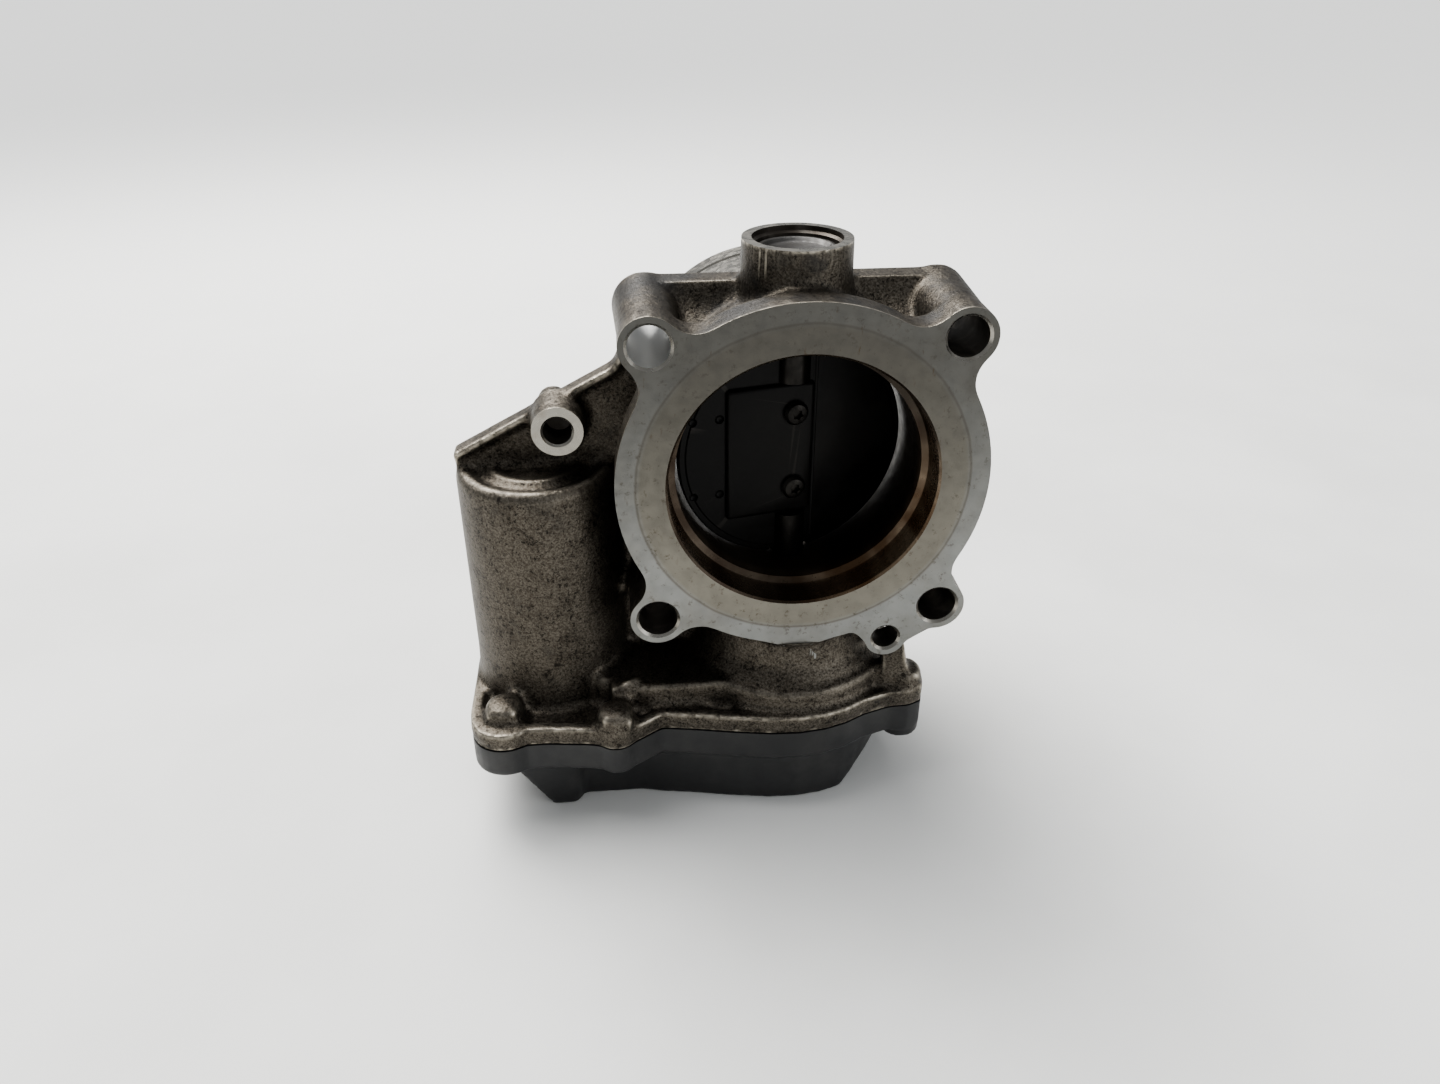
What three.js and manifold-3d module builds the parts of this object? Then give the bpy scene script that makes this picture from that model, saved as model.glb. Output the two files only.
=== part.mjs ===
// Electronic throttle body: a die-cast housing with a round bore, a butterfly plate on an upright shaft,
// a two-stage gear train driven by an upright motor beside the bore, and a plastic cover below the gears.
// Millimetres. The origin is on the shaft axis at the cover's lowest face, +Z up along the shaft,
// -Y out of the manifold flange, +Y out of the hose spigot.
import * as THREE from "three";
import { mergeVertices } from "three/addons/utils/BufferGeometryUtils.js";
import Module from "manifold-3d";

const wasm = await Module();
wasm.setup();

// ---------------------------------------------------------------- driving dimensions
const GAP = 0.3; // clearance between neighbouring solids
const EPS = 1; // how far a cutter runs past the face it opens

const BORE = {
  z: 86, // height of the bore axis
  r: 28,
  mouthR: 30, // counterbore at the flange
  faceY: -21.5,
  mouthDepth: 8,
  barrelR: 33,
  spigotR: 34,
  endY: 53,
};
const FLANGE = {
  r: 41.5,
  thick: 8,
  ear: 33, // half the square of the four fixing holes
  earR: 6.5,
  holeR: 4.5,
  backY: 8.5, // rear face of the square plate behind the flange
  plateThick: 7,
  fillet: 7,
};
const SMALL_EAR = { x: 21.2, z: 44.4, r: 5, holeR: 3.05 };
const TOP_BOSS = { r: 12, z: 135, plugR: 9.3, plugZ: 129, bearingR: 7.3, bearingZ: 117 };
// The hollow on each side of the top boss: a shoulder round the barrel, and a slope up to the square plate.
const SADDLE = {
  halfX: 28,
  lowZ: 112,
  shoulder: [[41, -14.5], [40, -12.5], [38.6, -9.5], [37.8, -6], [37.8, -2], [38.6, 0], [39.4, 2.5]],
  slope: [[-14, 114], [-9, 116], [-5, 117.6], [-2, 119.6], [0, 122], [1, 124.6], [2.5, 125.2]],
};
const NECK = {
  r: 22.4,
  upperR: 21.2, // behind the flange's face
  upperZ: 44,
  cavityR: 18,
  cavityZ: 46,
  bearingR: 8,
  bearingZ: 53,
  sealR: 6.4,
  sealZ: 56.3,
};
const SHELF = { r: 27.5, idlerR: 26.5, frontY: -21.4, backY: 18, leftX: -45, z: 33.5, roof: 3 };
const RIM = { seamZ: 23.8, z: 28, wall: 3 };
const SHAFT = { r: 4, z0: 8, z1: 127, slotHalf: 28.1, slot: 3 };
const PLATE = {
  r: 27.7,
  thick: 2.4,
  restTurn: THREE.MathUtils.degToRad(12.5),
  padX0: -16.5,
  padX1: 5,
  padZ: 16.5,
  pad: 1.2,
  screwZ: 9.5, // each side of the bore axis
};
const MOTOR = {
  x: -59.5,
  y: 0,
  housingR: 18.5,
  topZ: 85,
  domeR: 13.5,
  domeZ: 87.5,
  pocketR: 16.4,
  pocketZ: 82,
  canR: 15.9,
  tabR: 4, // the lugs of its end plate and the bosses above them
  screwReach: 20,
};
// The gear case's outline: a round-cornered box under the motor, a circle on each of the other two axes,
// and a bridge between them with a wavy front edge.
const CASE = {
  x0: -79,
  x1: -50,
  y0: -28.5,
  y1: 27,
  corner: 9,
  r: 29.5,
  bridgeBack: [[0, 22], [-62, 22]],
  bridgeFront: [
    [-62, -24],
    [-38, -24],
    [-33, -25.2],
    [-25.4, -26.4],
    [-15.9, -28.3],
    [-7, -29.7],
    [0, -30],
    [6.6, -29.1],
    [11.8, -27.3],
    [15.5, -25],
  ],
};
const COVER = {
  seamZ: 23.5,
  bandZ: 16.5,
  floor: 2.5,
  wall: 2.2,
  inset: 2, // from the case's outline to the box below the band
  slantTop: [-70, 26],
  slantBottom: [-61, 12],
};
const SEAL = { inset: 1.1, width: 0.9, z0: 22.1, grooveZ: 21.8 };
const SCREW = {
  r: 1.6,
  headR: 3.3,
  headZ: 13.9,
  washerZ: 16.2,
  tipZ: 30,
  bossR: 3.9,
  bossZ: 31.5,
  earR: 5,
  sinkR: 4.2,
};
const STOP_SCREW = { r: 2, at: [8, 41], y0: 16.6, y1: 27 };
const SPRING = { r: 14.6, wire: 1.1, turns: 4, z0: 27, z1: 43.5 };
const BRACKET = { at: [-53.4, 96.2], r: 5.8, holeR: 3.3, y0: -10, holeY: -1.6, ringY: 0 };
const BRACKET_LUG = { at: [-54.7, 97.4], r: 3.6, y1: 6 };

const MODULE = 1; // gear tooth size
const TEETH = { sector: 48, small: 14, large: 48, pinion: 12 };
const pitch = (teeth) => (MODULE * teeth) / 2;
const LEVEL = { sector: [7, 13], small: [6.6, 15], large: [15, 19.5], pinion: [14.6, 20.3] };
const SECTOR_ARC = [78, 186]; // degrees of the sector that carry teeth

// The intermediate gear meshes with the sector and with the motor pinion, so its axis is where
// the two centre distances cross, on the side away from the flange.
const toShaft = pitch(TEETH.sector) + pitch(TEETH.small);
const toMotor = pitch(TEETH.large) + pitch(TEETH.pinion);
const span = Math.abs(MOTOR.x);
const along = (toShaft ** 2 - toMotor ** 2 + span ** 2) / (2 * span);
const IDLER = { x: -along, y: Math.sqrt(toShaft ** 2 - along ** 2), pinR: 2.5, bossR: 5, bossZ: 21.5 };

const polar = (cx, cy, r, deg) => [
  cx + r * Math.cos(THREE.MathUtils.degToRad(deg)),
  cy + r * Math.sin(THREE.MathUtils.degToRad(deg)),
];
const SCREW_PLACES = [
  [-70.6, -22.2],
  [-44, -27],
  [28, -16.5],
  polar(0, 0, 31.6, 50),
  polar(IDLER.x, IDLER.y, 32.2, 75),
  [-68, 30],
];
const MOTOR_SCREWS = [115, -45].map((deg) => polar(MOTOR.x, MOTOR.y, MOTOR.screwReach, deg));
const CONNECTOR = {
  x0: -61.5,
  x1: -37.5,
  z0: 3.5,
  z1: 17.5,
  y0: 15,
  y1: 52,
  wall: 2,
  floorY: 34,
  pinZ: 9,
  pinStepX: 5,
  pinStepZ: 4,
  pinHalf: 0.4,
  pinEndY: 47,
};

// ---------------------------------------------------------------- materials
const finish = (color, roughness, metalness) =>
  new THREE.MeshStandardMaterial({ color, roughness, metalness });
const MATERIAL = {
  casting: finish(0x77736c, 0.6, 0.85),
  machined: finish(0xb4b2ac, 0.35, 0.95),
  steel: finish(0x8d8d8f, 0.35, 1),
  spring: finish(0x6d6a66, 0.4, 1),
  plate: finish(0x4b4a49, 0.45, 0.6),
  brass: finish(0xb08d4a, 0.35, 1),
  cover: finish(0x141414, 0.45, 0),
  gear: finish(0xd9d2bd, 0.55, 0),
  rubber: finish(0x1c1b1a, 0.8, 0),
  magnet: finish(0x2b2b2d, 0.5, 0.6),
  board: finish(0x24503a, 0.5, 0),
  zinc: finish(0xb9b7a8, 0.35, 1),
};

// ---------------------------------------------------------------- solids
// A closed three.js geometry as a solid that can be joined and cut.
function solid(geometry) {
  const bare = geometry.clone();
  bare.deleteAttribute("normal");
  bare.deleteAttribute("uv");
  const merged = mergeVertices(bare, 1e-4);
  const kept = [];
  const index = merged.index.array;
  for (let i = 0; i < index.length; i += 3) {
    const [a, b, c] = [index[i], index[i + 1], index[i + 2]];
    if (a !== b && b !== c && c !== a) kept.push(a, b, c);
  }
  return new wasm.Manifold(
    new wasm.Mesh({
      numProp: 3,
      vertProperties: merged.attributes.position.array,
      triVerts: new Uint32Array(kept),
    }),
  );
}

const union = (...solids) => solids.reduce((all, next) => all.add(next));

function rodZ(r, z0, z1, [x, y] = [0, 0], sides = 32) {
  const cylinder = new THREE.CylinderGeometry(r, r, z1 - z0, sides).rotateX(Math.PI / 2);
  return solid(cylinder.translate(x, y, (z0 + z1) / 2));
}

function rodY(r, y0, y1, [x, z], sides = 32) {
  return solid(new THREE.CylinderGeometry(r, r, y1 - y0, sides).translate(x, (y0 + y1) / 2, z));
}

function block([x0, y0, z0], [x1, y1, z1]) {
  const box = new THREE.BoxGeometry(x1 - x0, y1 - y0, z1 - z0);
  return solid(box.translate((x0 + x1) / 2, (y0 + y1) / 2, (z0 + z1) / 2));
}

// A flat shape drawn in X and Y, from height z0 to z1.
function slabZ(shape, z0, z1, curveSegments = 12) {
  const options = { depth: z1 - z0, bevelEnabled: false, curveSegments };
  return solid(new THREE.ExtrudeGeometry(shape, options).translate(0, 0, z0));
}

// A flat shape drawn in X and Z, from depth y0 to y1.
function slabY(shape, y0, y1, curveSegments = 12) {
  const options = { depth: y1 - y0, bevelEnabled: false, curveSegments };
  return solid(new THREE.ExtrudeGeometry(shape, options).rotateX(Math.PI / 2).translate(0, y1, 0));
}

// A flat shape drawn in Y and Z, from x0 to x1.
function slabX(shape, x0, x1) {
  const [x, y, z] = [[1, 0, 0], [0, 1, 0], [0, 0, 1]].map((axis) => new THREE.Vector3(...axis));
  const options = { depth: x1 - x0, bevelEnabled: false };
  const turn = new THREE.Matrix4().makeBasis(y, z, x);
  return solid(new THREE.ExtrudeGeometry(shape, options).applyMatrix4(turn).translate(x0, 0, 0));
}

const polygon = (points) => new THREE.Shape(points.map(([a, b]) => new THREE.Vector2(a, b)));

// A ring or disc turned about an upright axis from [radius, height] points, anticlockwise from the inside.
function turnedZ(points, [x, y] = [0, 0], sides = 32) {
  const profile = [...points, points[0]].map(([r, z]) => new THREE.Vector2(r, z));
  return solid(new THREE.LatheGeometry(profile, sides).rotateX(Math.PI / 2).translate(x, y, 0));
}

const tubeZ = (inner, outer, z0, z1, centre, sides) =>
  turnedZ([[inner, z0], [outer, z0], [outer, z1], [inner, z1]], centre, sides);

// The same about the bore axis, from [radius, depth] points that run from the spigot to the flange.
function turnedY(points, sides = 48) {
  const profile = [...points, points[0]].reverse().map(([r, y]) => new THREE.Vector2(r, y));
  return solid(new THREE.LatheGeometry(profile, sides).translate(0, 0, BORE.z));
}

function roundedRectangle(x0, y0, x1, y1, r) {
  const shape = new THREE.Shape();
  shape.moveTo(x0 + r, y0);
  shape.absarc(x1 - r, y0 + r, r, -Math.PI / 2, 0);
  shape.absarc(x1 - r, y1 - r, r, 0, Math.PI / 2);
  shape.absarc(x0 + r, y1 - r, r, Math.PI / 2, Math.PI);
  shape.absarc(x0 + r, y0 + r, r, Math.PI, Math.PI * 1.5);
  return shape;
}

function circle(x, y, r) {
  return new THREE.Shape().absarc(x, y, r, 0, Math.PI * 2);
}

const root = new THREE.Group();

// Adds a solid to the object as a named mesh. pose is an optional group that places it.
function place(name, body, material, pose = root) {
  const { numProp, vertProperties, triVerts, numVert } = body.getMesh();
  const positions = new Float32Array(numVert * 3);
  for (let i = 0; i < numVert; i++) {
    positions.set(vertProperties.subarray(i * numProp, i * numProp + 3), i * 3);
  }
  const geometry = new THREE.BufferGeometry();
  geometry.setAttribute("position", new THREE.BufferAttribute(positions, 3));
  geometry.setIndex(new THREE.BufferAttribute(triVerts, 1));
  const mesh = new THREE.Mesh(geometry, material);
  mesh.name = name;
  pose.add(mesh);
}

// ---------------------------------------------------------------- outlines
// A disc with round ears joined to it by hollow fillets, in X and Z about the bore axis.
function earedDisc(r, ears, fillet) {
  const shape = new THREE.Shape();
  // direction of an ear, and the angle from it to the centres of its two fillets
  const place = ([x, z, earR]) => {
    const reach = Math.hypot(x, z);
    const cosine = (reach ** 2 + (r + fillet) ** 2 - (earR + fillet) ** 2) / (2 * reach * (r + fillet));
    return [Math.atan2(z, x), Math.acos(cosine)];
  };
  ears.forEach((ear, i) => {
    const [x, z, earR] = ear;
    const [aim, side] = place(ear);
    const [nextAim, nextSide] = place(ears[(i + 1) % ears.length]);
    const centre = (turn) => [(r + fillet) * Math.cos(aim + turn), (r + fillet) * Math.sin(aim + turn)];
    const [ax, az] = centre(-side);
    const [bx, bz] = centre(side);
    const toEarA = Math.atan2(z - az, x - ax);
    const toEarB = Math.atan2(z - bz, x - bx);
    shape.absarc(ax, az + BORE.z, fillet, aim - side + Math.PI, toEarA, true);
    shape.absarc(x, z + BORE.z, earR, toEarA + Math.PI, toEarB + Math.PI, false);
    shape.absarc(bx, bz + BORE.z, fillet, toEarB, aim + side + Math.PI, true);
    shape.absarc(0, BORE.z, r, aim + side, nextAim - nextSide, false);
  });
  return shape;
}

// The gear case seen from above, drawn in by inset from its outer edge.
function caseSlab(z0, z1, inset) {
  const { x0, x1, y0, y1, corner, r, bridgeFront, bridgeBack } = CASE;
  const bridge = [
    ...bridgeFront.map(([x, y]) => [x, y + inset]),
    ...bridgeBack.map(([x, y]) => [x, y - inset]),
  ];
  const end = roundedRectangle(x0 + inset, y0 + inset, x1 - inset, y1 - inset, corner - inset);
  return union(
    slabZ(end, z0, z1, 4),
    slabZ(circle(0, 0, r - inset), z0, z1, 16),
    slabZ(circle(IDLER.x, IDLER.y, r - inset), z0, z1, 16),
    slabZ(polygon(bridge), z0, z1),
  );
}

// The screw ears and the fillers between them and the case, outside the sealing line.
function caseEars(z0, z1) {
  const ears = SCREW_PLACES.slice(1).map((at) => rodZ(SCREW.earR, z0, z1, at, 16));
  const filler = [
    [-62, -28.3],
    [-50.7, -29.6],
    [-44, -31],
    [-40.5, -30.2],
    [-37.6, -28.4],
    [-33, -25.2],
    [-33, -20],
    [-62, -20],
  ];
  const corner = [
    [11.8, -27.3],
    [16.8, -24.5],
    [23.6, -22.2],
    [28.7, -22],
    [32, -20.5],
    [33, -17.5],
    [33, -14],
    [26, -8],
    [10, -10],
  ];
  return union(...ears, slabZ(polygon(filler), z0, z1), slabZ(polygon(corner), z0, z1));
}

const columns = (r, z0, z1) => union(...SCREW_PLACES.map((at) => rodZ(r, z0, z1, at, 16)));

// ---------------------------------------------------------------- gears
const PRESSURE = THREE.MathUtils.degToRad(25);
const BACKLASH = 0.36;
const ADDENDUM = 0.8;
const DEDENDUM = 1.15;
const involute = (a) => Math.tan(a) - a;

// Half the angle that a tooth fills at a radius.
function toothHalfAngle(teeth, r) {
  const rp = pitch(teeth);
  const base = rp * Math.cos(PRESSURE);
  const slope = Math.acos(Math.min(1, base / Math.max(r, base)));
  return Math.PI / (2 * teeth) - BACKLASH / (2 * rp) + involute(PRESSURE) - involute(slope);
}

// The outline of gear teeth numbered from..to, as points, the first tooth centred on angle phase.
function toothPoints(teeth, from, to, phase) {
  const rp = pitch(teeth);
  const radii = [rp - DEDENDUM, rp, rp + ADDENDUM];
  const points = [];
  for (let k = from; k < to; k++) {
    const middle = phase + (k * 2 * Math.PI) / teeth;
    for (const r of radii) points.push([r, middle - toothHalfAngle(teeth, r)]);
    for (const r of [...radii].reverse()) points.push([r, middle + toothHalfAngle(teeth, r)]);
  }
  return points.map(([r, a]) => [r * Math.cos(a), r * Math.sin(a)]);
}

function wheel(teeth, [z0, z1], phase, { x, y }) {
  const points = toothPoints(teeth, 0, teeth, phase).map(([a, b]) => [a + x, b + y]);
  return slabZ(polygon(points), z0, z1);
}

// ---------------------------------------------------------------- housing
function makeHousing() {
  const e = FLANGE.ear;
  const ears = [[e, e], [-e, e], [-e, -e], [e, -e]];
  const inner = BORE.faceY + FLANGE.thick;
  const backFront = FLANGE.backY - FLANGE.plateThick;

  const flangeShape = earedDisc(FLANGE.r, ears.map(([x, z]) => [x, z, FLANGE.earR]), FLANGE.fillet);
  const flange = slabY(flangeShape, BORE.faceY, inner, 4);
  const smallEar = rodY(SMALL_EAR.r, BORE.faceY, inner, [SMALL_EAR.x, SMALL_EAR.z], 24);
  const low = BORE.z - e;
  const earWebOutline = [
    [SMALL_EAR.x - 1, 39.6],
    [e - 1, low - FLANGE.earR + 0.2],
    [e, low],
    [e - 6, low + 6],
    [12, 50],
    [14, 46],
  ];
  const earWeb = slabY(polygon(earWebOutline), BORE.faceY, inner);
  const earBosses = ears.map(([x, z]) => rodY(FLANGE.earR, inner - EPS, FLANGE.backY, [x, BORE.z + z], 20));
  const reach = e + FLANGE.earR;
  const square = roundedRectangle(-reach, BORE.z - reach, reach, BORE.z + reach, FLANGE.earR);
  const plate = slabY(square, backFront, FLANGE.backY, 4);
  const barrel = turnedY([
    [20, BORE.endY],
    [BORE.spigotR, BORE.endY],
    [BORE.spigotR, FLANGE.backY],
    [BORE.barrelR, backFront],
    [BORE.barrelR, inner + 4],
    [BORE.barrelR + 4, inner - EPS],
    [20, inner - EPS],
  ]);

  const shoulderRing = turnedY([[20, 2.5], [20, -14.5], ...SADDLE.shoulder].reverse());
  const saddleLow = [-SADDLE.halfX, inner - 1, SADDLE.lowZ];
  const saddleHigh = [SADDLE.halfX, backFront + 1, TOP_BOSS.z];
  const slope = polygon([...SADDLE.slope, [2.5, SADDLE.lowZ], [-14, SADDLE.lowZ]]);
  const shoulder = shoulderRing.intersect(block(saddleLow, saddleHigh));
  const saddle = shoulder.add(slabX(slope, -SADDLE.halfX, SADDLE.halfX));
  const topBoss = rodZ(TOP_BOSS.r, BORE.z + 20, TOP_BOSS.z, [0, 0], 32);
  const neckFoot = rodZ(NECK.r, SHELF.z - EPS, NECK.upperZ, [0, 0], 40);
  const neck = neckFoot.add(rodZ(NECK.upperR, NECK.upperZ - EPS, BORE.z - 20, [0, 0], 40));
  const shelf = union(
    rodZ(SHELF.r, RIM.z - EPS, SHELF.z, [0, 0], 40),
    block([SHELF.leftX, SHELF.frontY, RIM.z - EPS], [0, SHELF.backY, SHELF.z]),
    rodZ(SHELF.idlerR, RIM.z - EPS, SHELF.z, [IDLER.x, IDLER.y], 40),
  );
  const rim = caseSlab(RIM.seamZ, RIM.z, 0).add(caseEars(RIM.seamZ, RIM.z));
  const bosses = columns(SCREW.bossR, RIM.z - EPS, SCREW.bossZ);
  const motorScrewBosses = union(...MOTOR_SCREWS.map((at) => rodZ(MOTOR.tabR, RIM.z - EPS, SHELF.z, at, 16)));
  const gusset = slabY(polygon([[23, 27], [31, 27], [26, 43], [20, 46]]), -19.5, -15.5);

  const can = turnedZ(
    [
      [0, RIM.z - EPS],
      [MOTOR.housingR, RIM.z - EPS],
      [MOTOR.housingR, MOTOR.topZ - 2.4],
      [MOTOR.housingR - 0.7, MOTOR.topZ - 0.7],
      [MOTOR.housingR - 2.4, MOTOR.topZ],
      [MOTOR.domeR, MOTOR.topZ],
      [MOTOR.domeR - 1.5, MOTOR.domeZ],
      [0, MOTOR.domeZ],
    ],
    [MOTOR.x, MOTOR.y],
    40,
  );
  const webHalf = 3;
  const webOutline = [
    [-77.5, 82],
    [-77.5, 88],
    [-40.6, 107.6],
    [-e, BORE.z + e],
    [-20, 110],
    [-10, 50],
    [-10, 30],
    [-50, 30],
  ];
  const web = slabY(polygon(webOutline), -webHalf, webHalf);
  const bracket = rodY(BRACKET.r, BRACKET.y0, BRACKET.ringY, BRACKET.at, 24);
  const lug = rodY(BRACKET_LUG.r, BRACKET.ringY - 1, BRACKET_LUG.y1, BRACKET_LUG.at, 20);

  let body = union(flange, smallEar, earWeb, ...earBosses, plate, barrel, saddle, topBoss, neck, shelf, rim);
  body = union(body, bosses, motorScrewBosses, gusset, can, web, bracket, lug);

  // the airway
  body = body.subtract(
    turnedY([
      [0, BORE.endY + EPS],
      [BORE.r + 2, BORE.endY + EPS],
      [BORE.r, BORE.endY - 12],
      [BORE.r, BORE.faceY + BORE.mouthDepth],
      [BORE.mouthR, BORE.faceY + BORE.mouthDepth - 1],
      [BORE.mouthR, BORE.faceY - EPS],
      [0, BORE.faceY - EPS],
    ]),
  );
  // fixing holes
  for (const [x, z] of ears) {
    body = body.subtract(rodY(FLANGE.holeR, BORE.faceY - EPS, FLANGE.backY + EPS, [x, BORE.z + z], 20));
  }
  const smallHole = rodY(SMALL_EAR.holeR, BORE.faceY - EPS, inner + EPS, [SMALL_EAR.x, SMALL_EAR.z], 20);
  const bracketHole = rodY(BRACKET.holeR, BRACKET.y0 - EPS, BRACKET.holeY, BRACKET.at, 20);
  body = body.subtract(smallHole).subtract(bracketHole);
  // the shaft line: plug pocket, bearing pockets, seal pocket and spring pocket
  const shaftLine = [
    [0, NECK.cavityZ - 30],
    [NECK.cavityR, NECK.cavityZ - 30],
    [NECK.cavityR, NECK.cavityZ],
    [NECK.bearingR, NECK.cavityZ],
    [NECK.bearingR, NECK.bearingZ],
    [NECK.sealR, NECK.bearingZ],
    [NECK.sealR, NECK.sealZ],
    [SHAFT.r + GAP, NECK.sealZ],
    [SHAFT.r + GAP, TOP_BOSS.bearingZ],
    [TOP_BOSS.bearingR, TOP_BOSS.bearingZ],
    [TOP_BOSS.bearingR, TOP_BOSS.plugZ],
    [TOP_BOSS.plugR, TOP_BOSS.plugZ],
    [TOP_BOSS.plugR, TOP_BOSS.z + EPS],
    [0, TOP_BOSS.z + EPS],
  ];
  body = body.subtract(turnedZ(shaftLine));
  // the gear space, with solid columns left for the screws and the idler pin
  const roofZ = SHELF.z - SHELF.roof;
  const wallX = SHELF.leftX + 6; // inner face of the wall between the gears and the motor
  const idlerSpace = rodZ(SHELF.idlerR - SHELF.roof, RIM.seamZ - EPS, roofZ, [IDLER.x, IDLER.y], 40);
  const deep = union(
    rodZ(SHELF.r - SHELF.roof, RIM.seamZ - EPS, roofZ, [0, 0], 40),
    block([wallX, SHELF.frontY + SHELF.roof, RIM.seamZ - EPS], [0, SHELF.backY - SHELF.roof, roofZ]),
    idlerSpace.subtract(block([-80, -40, 0], [wallX, 40, SHELF.z])),
  );
  const shallow = caseSlab(RIM.seamZ - EPS, RIM.z - RIM.wall, RIM.wall);
  const idlerBoss = rodZ(IDLER.bossR, IDLER.bossZ, SHELF.z, [IDLER.x, IDLER.y], 24);
  const kept = columns(SCREW.sinkR, 0, SHELF.z).add(idlerBoss);
  body = body.subtract(deep.add(shallow).subtract(kept));
  const idlerPost = tubeZ(IDLER.pinR + GAP, IDLER.bossR, IDLER.bossZ, SHELF.z - 1, [IDLER.x, IDLER.y], 24);
  body = body.add(idlerPost);
  body = body.subtract(rodZ(IDLER.pinR + GAP, 20, SHELF.z - 2, [IDLER.x, IDLER.y], 20));
  body = body.subtract(rodZ(MOTOR.pocketR, RIM.seamZ - EPS, MOTOR.pocketZ, [MOTOR.x, MOTOR.y], 40));
  body = body.subtract(columns(SCREW.r + GAP, RIM.seamZ - EPS, SCREW.tipZ + GAP));
  for (const at of MOTOR_SCREWS) body = body.subtract(rodZ(SCREW.r + GAP, 20, SHELF.z - 2, at, 16));
  // the threaded hole of the stop screw, through the back of the neck
  return body.subtract(rodY(STOP_SCREW.r + GAP, 14, 40, STOP_SCREW.at, 16));
}
place("housing", makeHousing(), MATERIAL.casting);

// ---------------------------------------------------------------- shaft line, still parts
const inTop = [TOP_BOSS.bearingZ + GAP, TOP_BOSS.plugZ - 1.5];
const inNeck = [NECK.cavityZ + GAP, NECK.bearingZ - GAP];
const aboveNeck = [NECK.bearingZ + GAP, NECK.sealZ - GAP];
const plugCup = [
  [0, TOP_BOSS.plugZ + 0.4],
  [TOP_BOSS.plugR - GAP, TOP_BOSS.plugZ + 0.4],
  [TOP_BOSS.plugR - GAP, TOP_BOSS.plugZ + 4],
  [7.6, TOP_BOSS.plugZ + 4],
  [7, TOP_BOSS.plugZ + 2],
  [0, TOP_BOSS.plugZ + 2],
];
place("core_plug", turnedZ(plugCup), MATERIAL.machined);
place("upper_bearing", tubeZ(SHAFT.r + GAP, TOP_BOSS.bearingR - GAP, ...inTop), MATERIAL.steel);
place("lower_bearing", tubeZ(SHAFT.r + GAP, NECK.bearingR - GAP, ...inNeck), MATERIAL.steel);
place("shaft_seal", tubeZ(SHAFT.r + GAP, NECK.sealR - GAP, ...aboveNeck), MATERIAL.rubber);

// The return spring: an open coil round its bush.
function makeSpring() {
  const { r, wire, turns, z0, z1 } = SPRING;
  class Coil extends THREE.Curve {
    getPoint(t, target = new THREE.Vector3()) {
      const a = t * turns * 2 * Math.PI;
      return target.set(r * Math.cos(a), r * Math.sin(a), z0 + t * (z1 - z0));
    }
  }
  const section = new THREE.Shape();
  for (let i = 0; i < 6; i++) {
    const a = (i * Math.PI) / 3;
    if (i === 0) section.moveTo(wire, 0);
    else section.lineTo(wire * Math.cos(a), wire * Math.sin(a));
  }
  const options = { steps: turns * 14, bevelEnabled: false, extrudePath: new Coil() };
  return solid(new THREE.ExtrudeGeometry(section, options));
}
place("return_spring", makeSpring(), MATERIAL.spring);
const { r: stopR, y0: stopTip, y1: stopEnd, at: stopAt } = STOP_SCREW;
place("stop_screw", rodY(stopR, stopTip, stopEnd, stopAt, 16), MATERIAL.zinc);

// ---------------------------------------------------------------- throttle
// The plate and its slot are made square to the bore and turned to the rest pose.
const throttle = new THREE.Group();
throttle.rotation.z = PLATE.restTurn;
root.add(throttle);

function makeShaft() {
  const half = SHAFT.slotHalf;
  const rod = rodZ(SHAFT.r, SHAFT.z0, SHAFT.z1, [0, 0], 24);
  const slot = block([-10, -SHAFT.slot / 2, BORE.z - half], [10, SHAFT.slot / 2, BORE.z + half]);
  const flat = block([-10, -10, BORE.z - PLATE.padZ - GAP], [10, -SHAFT.slot / 2, BORE.z + PLATE.padZ + GAP]);
  const screws = [-1, 1].map((s) => rodY(SCREW.r + GAP, -10, 10, [0, BORE.z + s * PLATE.screwZ], 16));
  return screws.reduce((all, hole) => all.subtract(hole), rod.subtract(slot).subtract(flat));
}

function makePlate() {
  const t = PLATE.thick / 2;
  const disc = rodY(PLATE.r, -t, t, [0, BORE.z], 64);
  const padLow = [PLATE.padX0, -t - PLATE.pad, BORE.z - PLATE.padZ];
  const pad = block(padLow, [PLATE.padX1, 0, BORE.z + PLATE.padZ]);
  // the disc narrows where it passes through the slot so that it clears the slot's ends
  const [notch, depth] = [29, 2.6];
  const ends = [-1, 1].map((s) =>
    block([-SHAFT.r - 1, -5, BORE.z + s * notch - depth], [SHAFT.r + 1, 5, BORE.z + s * notch + depth]),
  );
  const holes = [-1, 1].map((s) => rodY(SCREW.r + GAP, -10, 10, [0, BORE.z + s * PLATE.screwZ], 16));
  return [...ends, ...holes].reduce((all, cut) => all.subtract(cut), disc.add(pad));
}

function makePlateScrew(side) {
  const z = BORE.z + side * PLATE.screwZ;
  const front = -PLATE.thick / 2 - PLATE.pad - GAP;
  const head = rodY(2.9, front - 1.5, front, [0, z], 20);
  return rodY(SCREW.r, front - EPS / 2, SHAFT.r - 0.4, [0, z], 16).add(head);
}

place("throttle_shaft", makeShaft(), MATERIAL.steel, throttle);
place("throttle_plate", makePlate(), MATERIAL.plate, throttle);
place("plate_screw_upper", makePlateScrew(1), MATERIAL.zinc, throttle);
place("plate_screw_lower", makePlateScrew(-1), MATERIAL.zinc, throttle);
place("spring_bush", tubeZ(SHAFT.r + GAP, 11.5, 26, 45), MATERIAL.gear);

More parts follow.
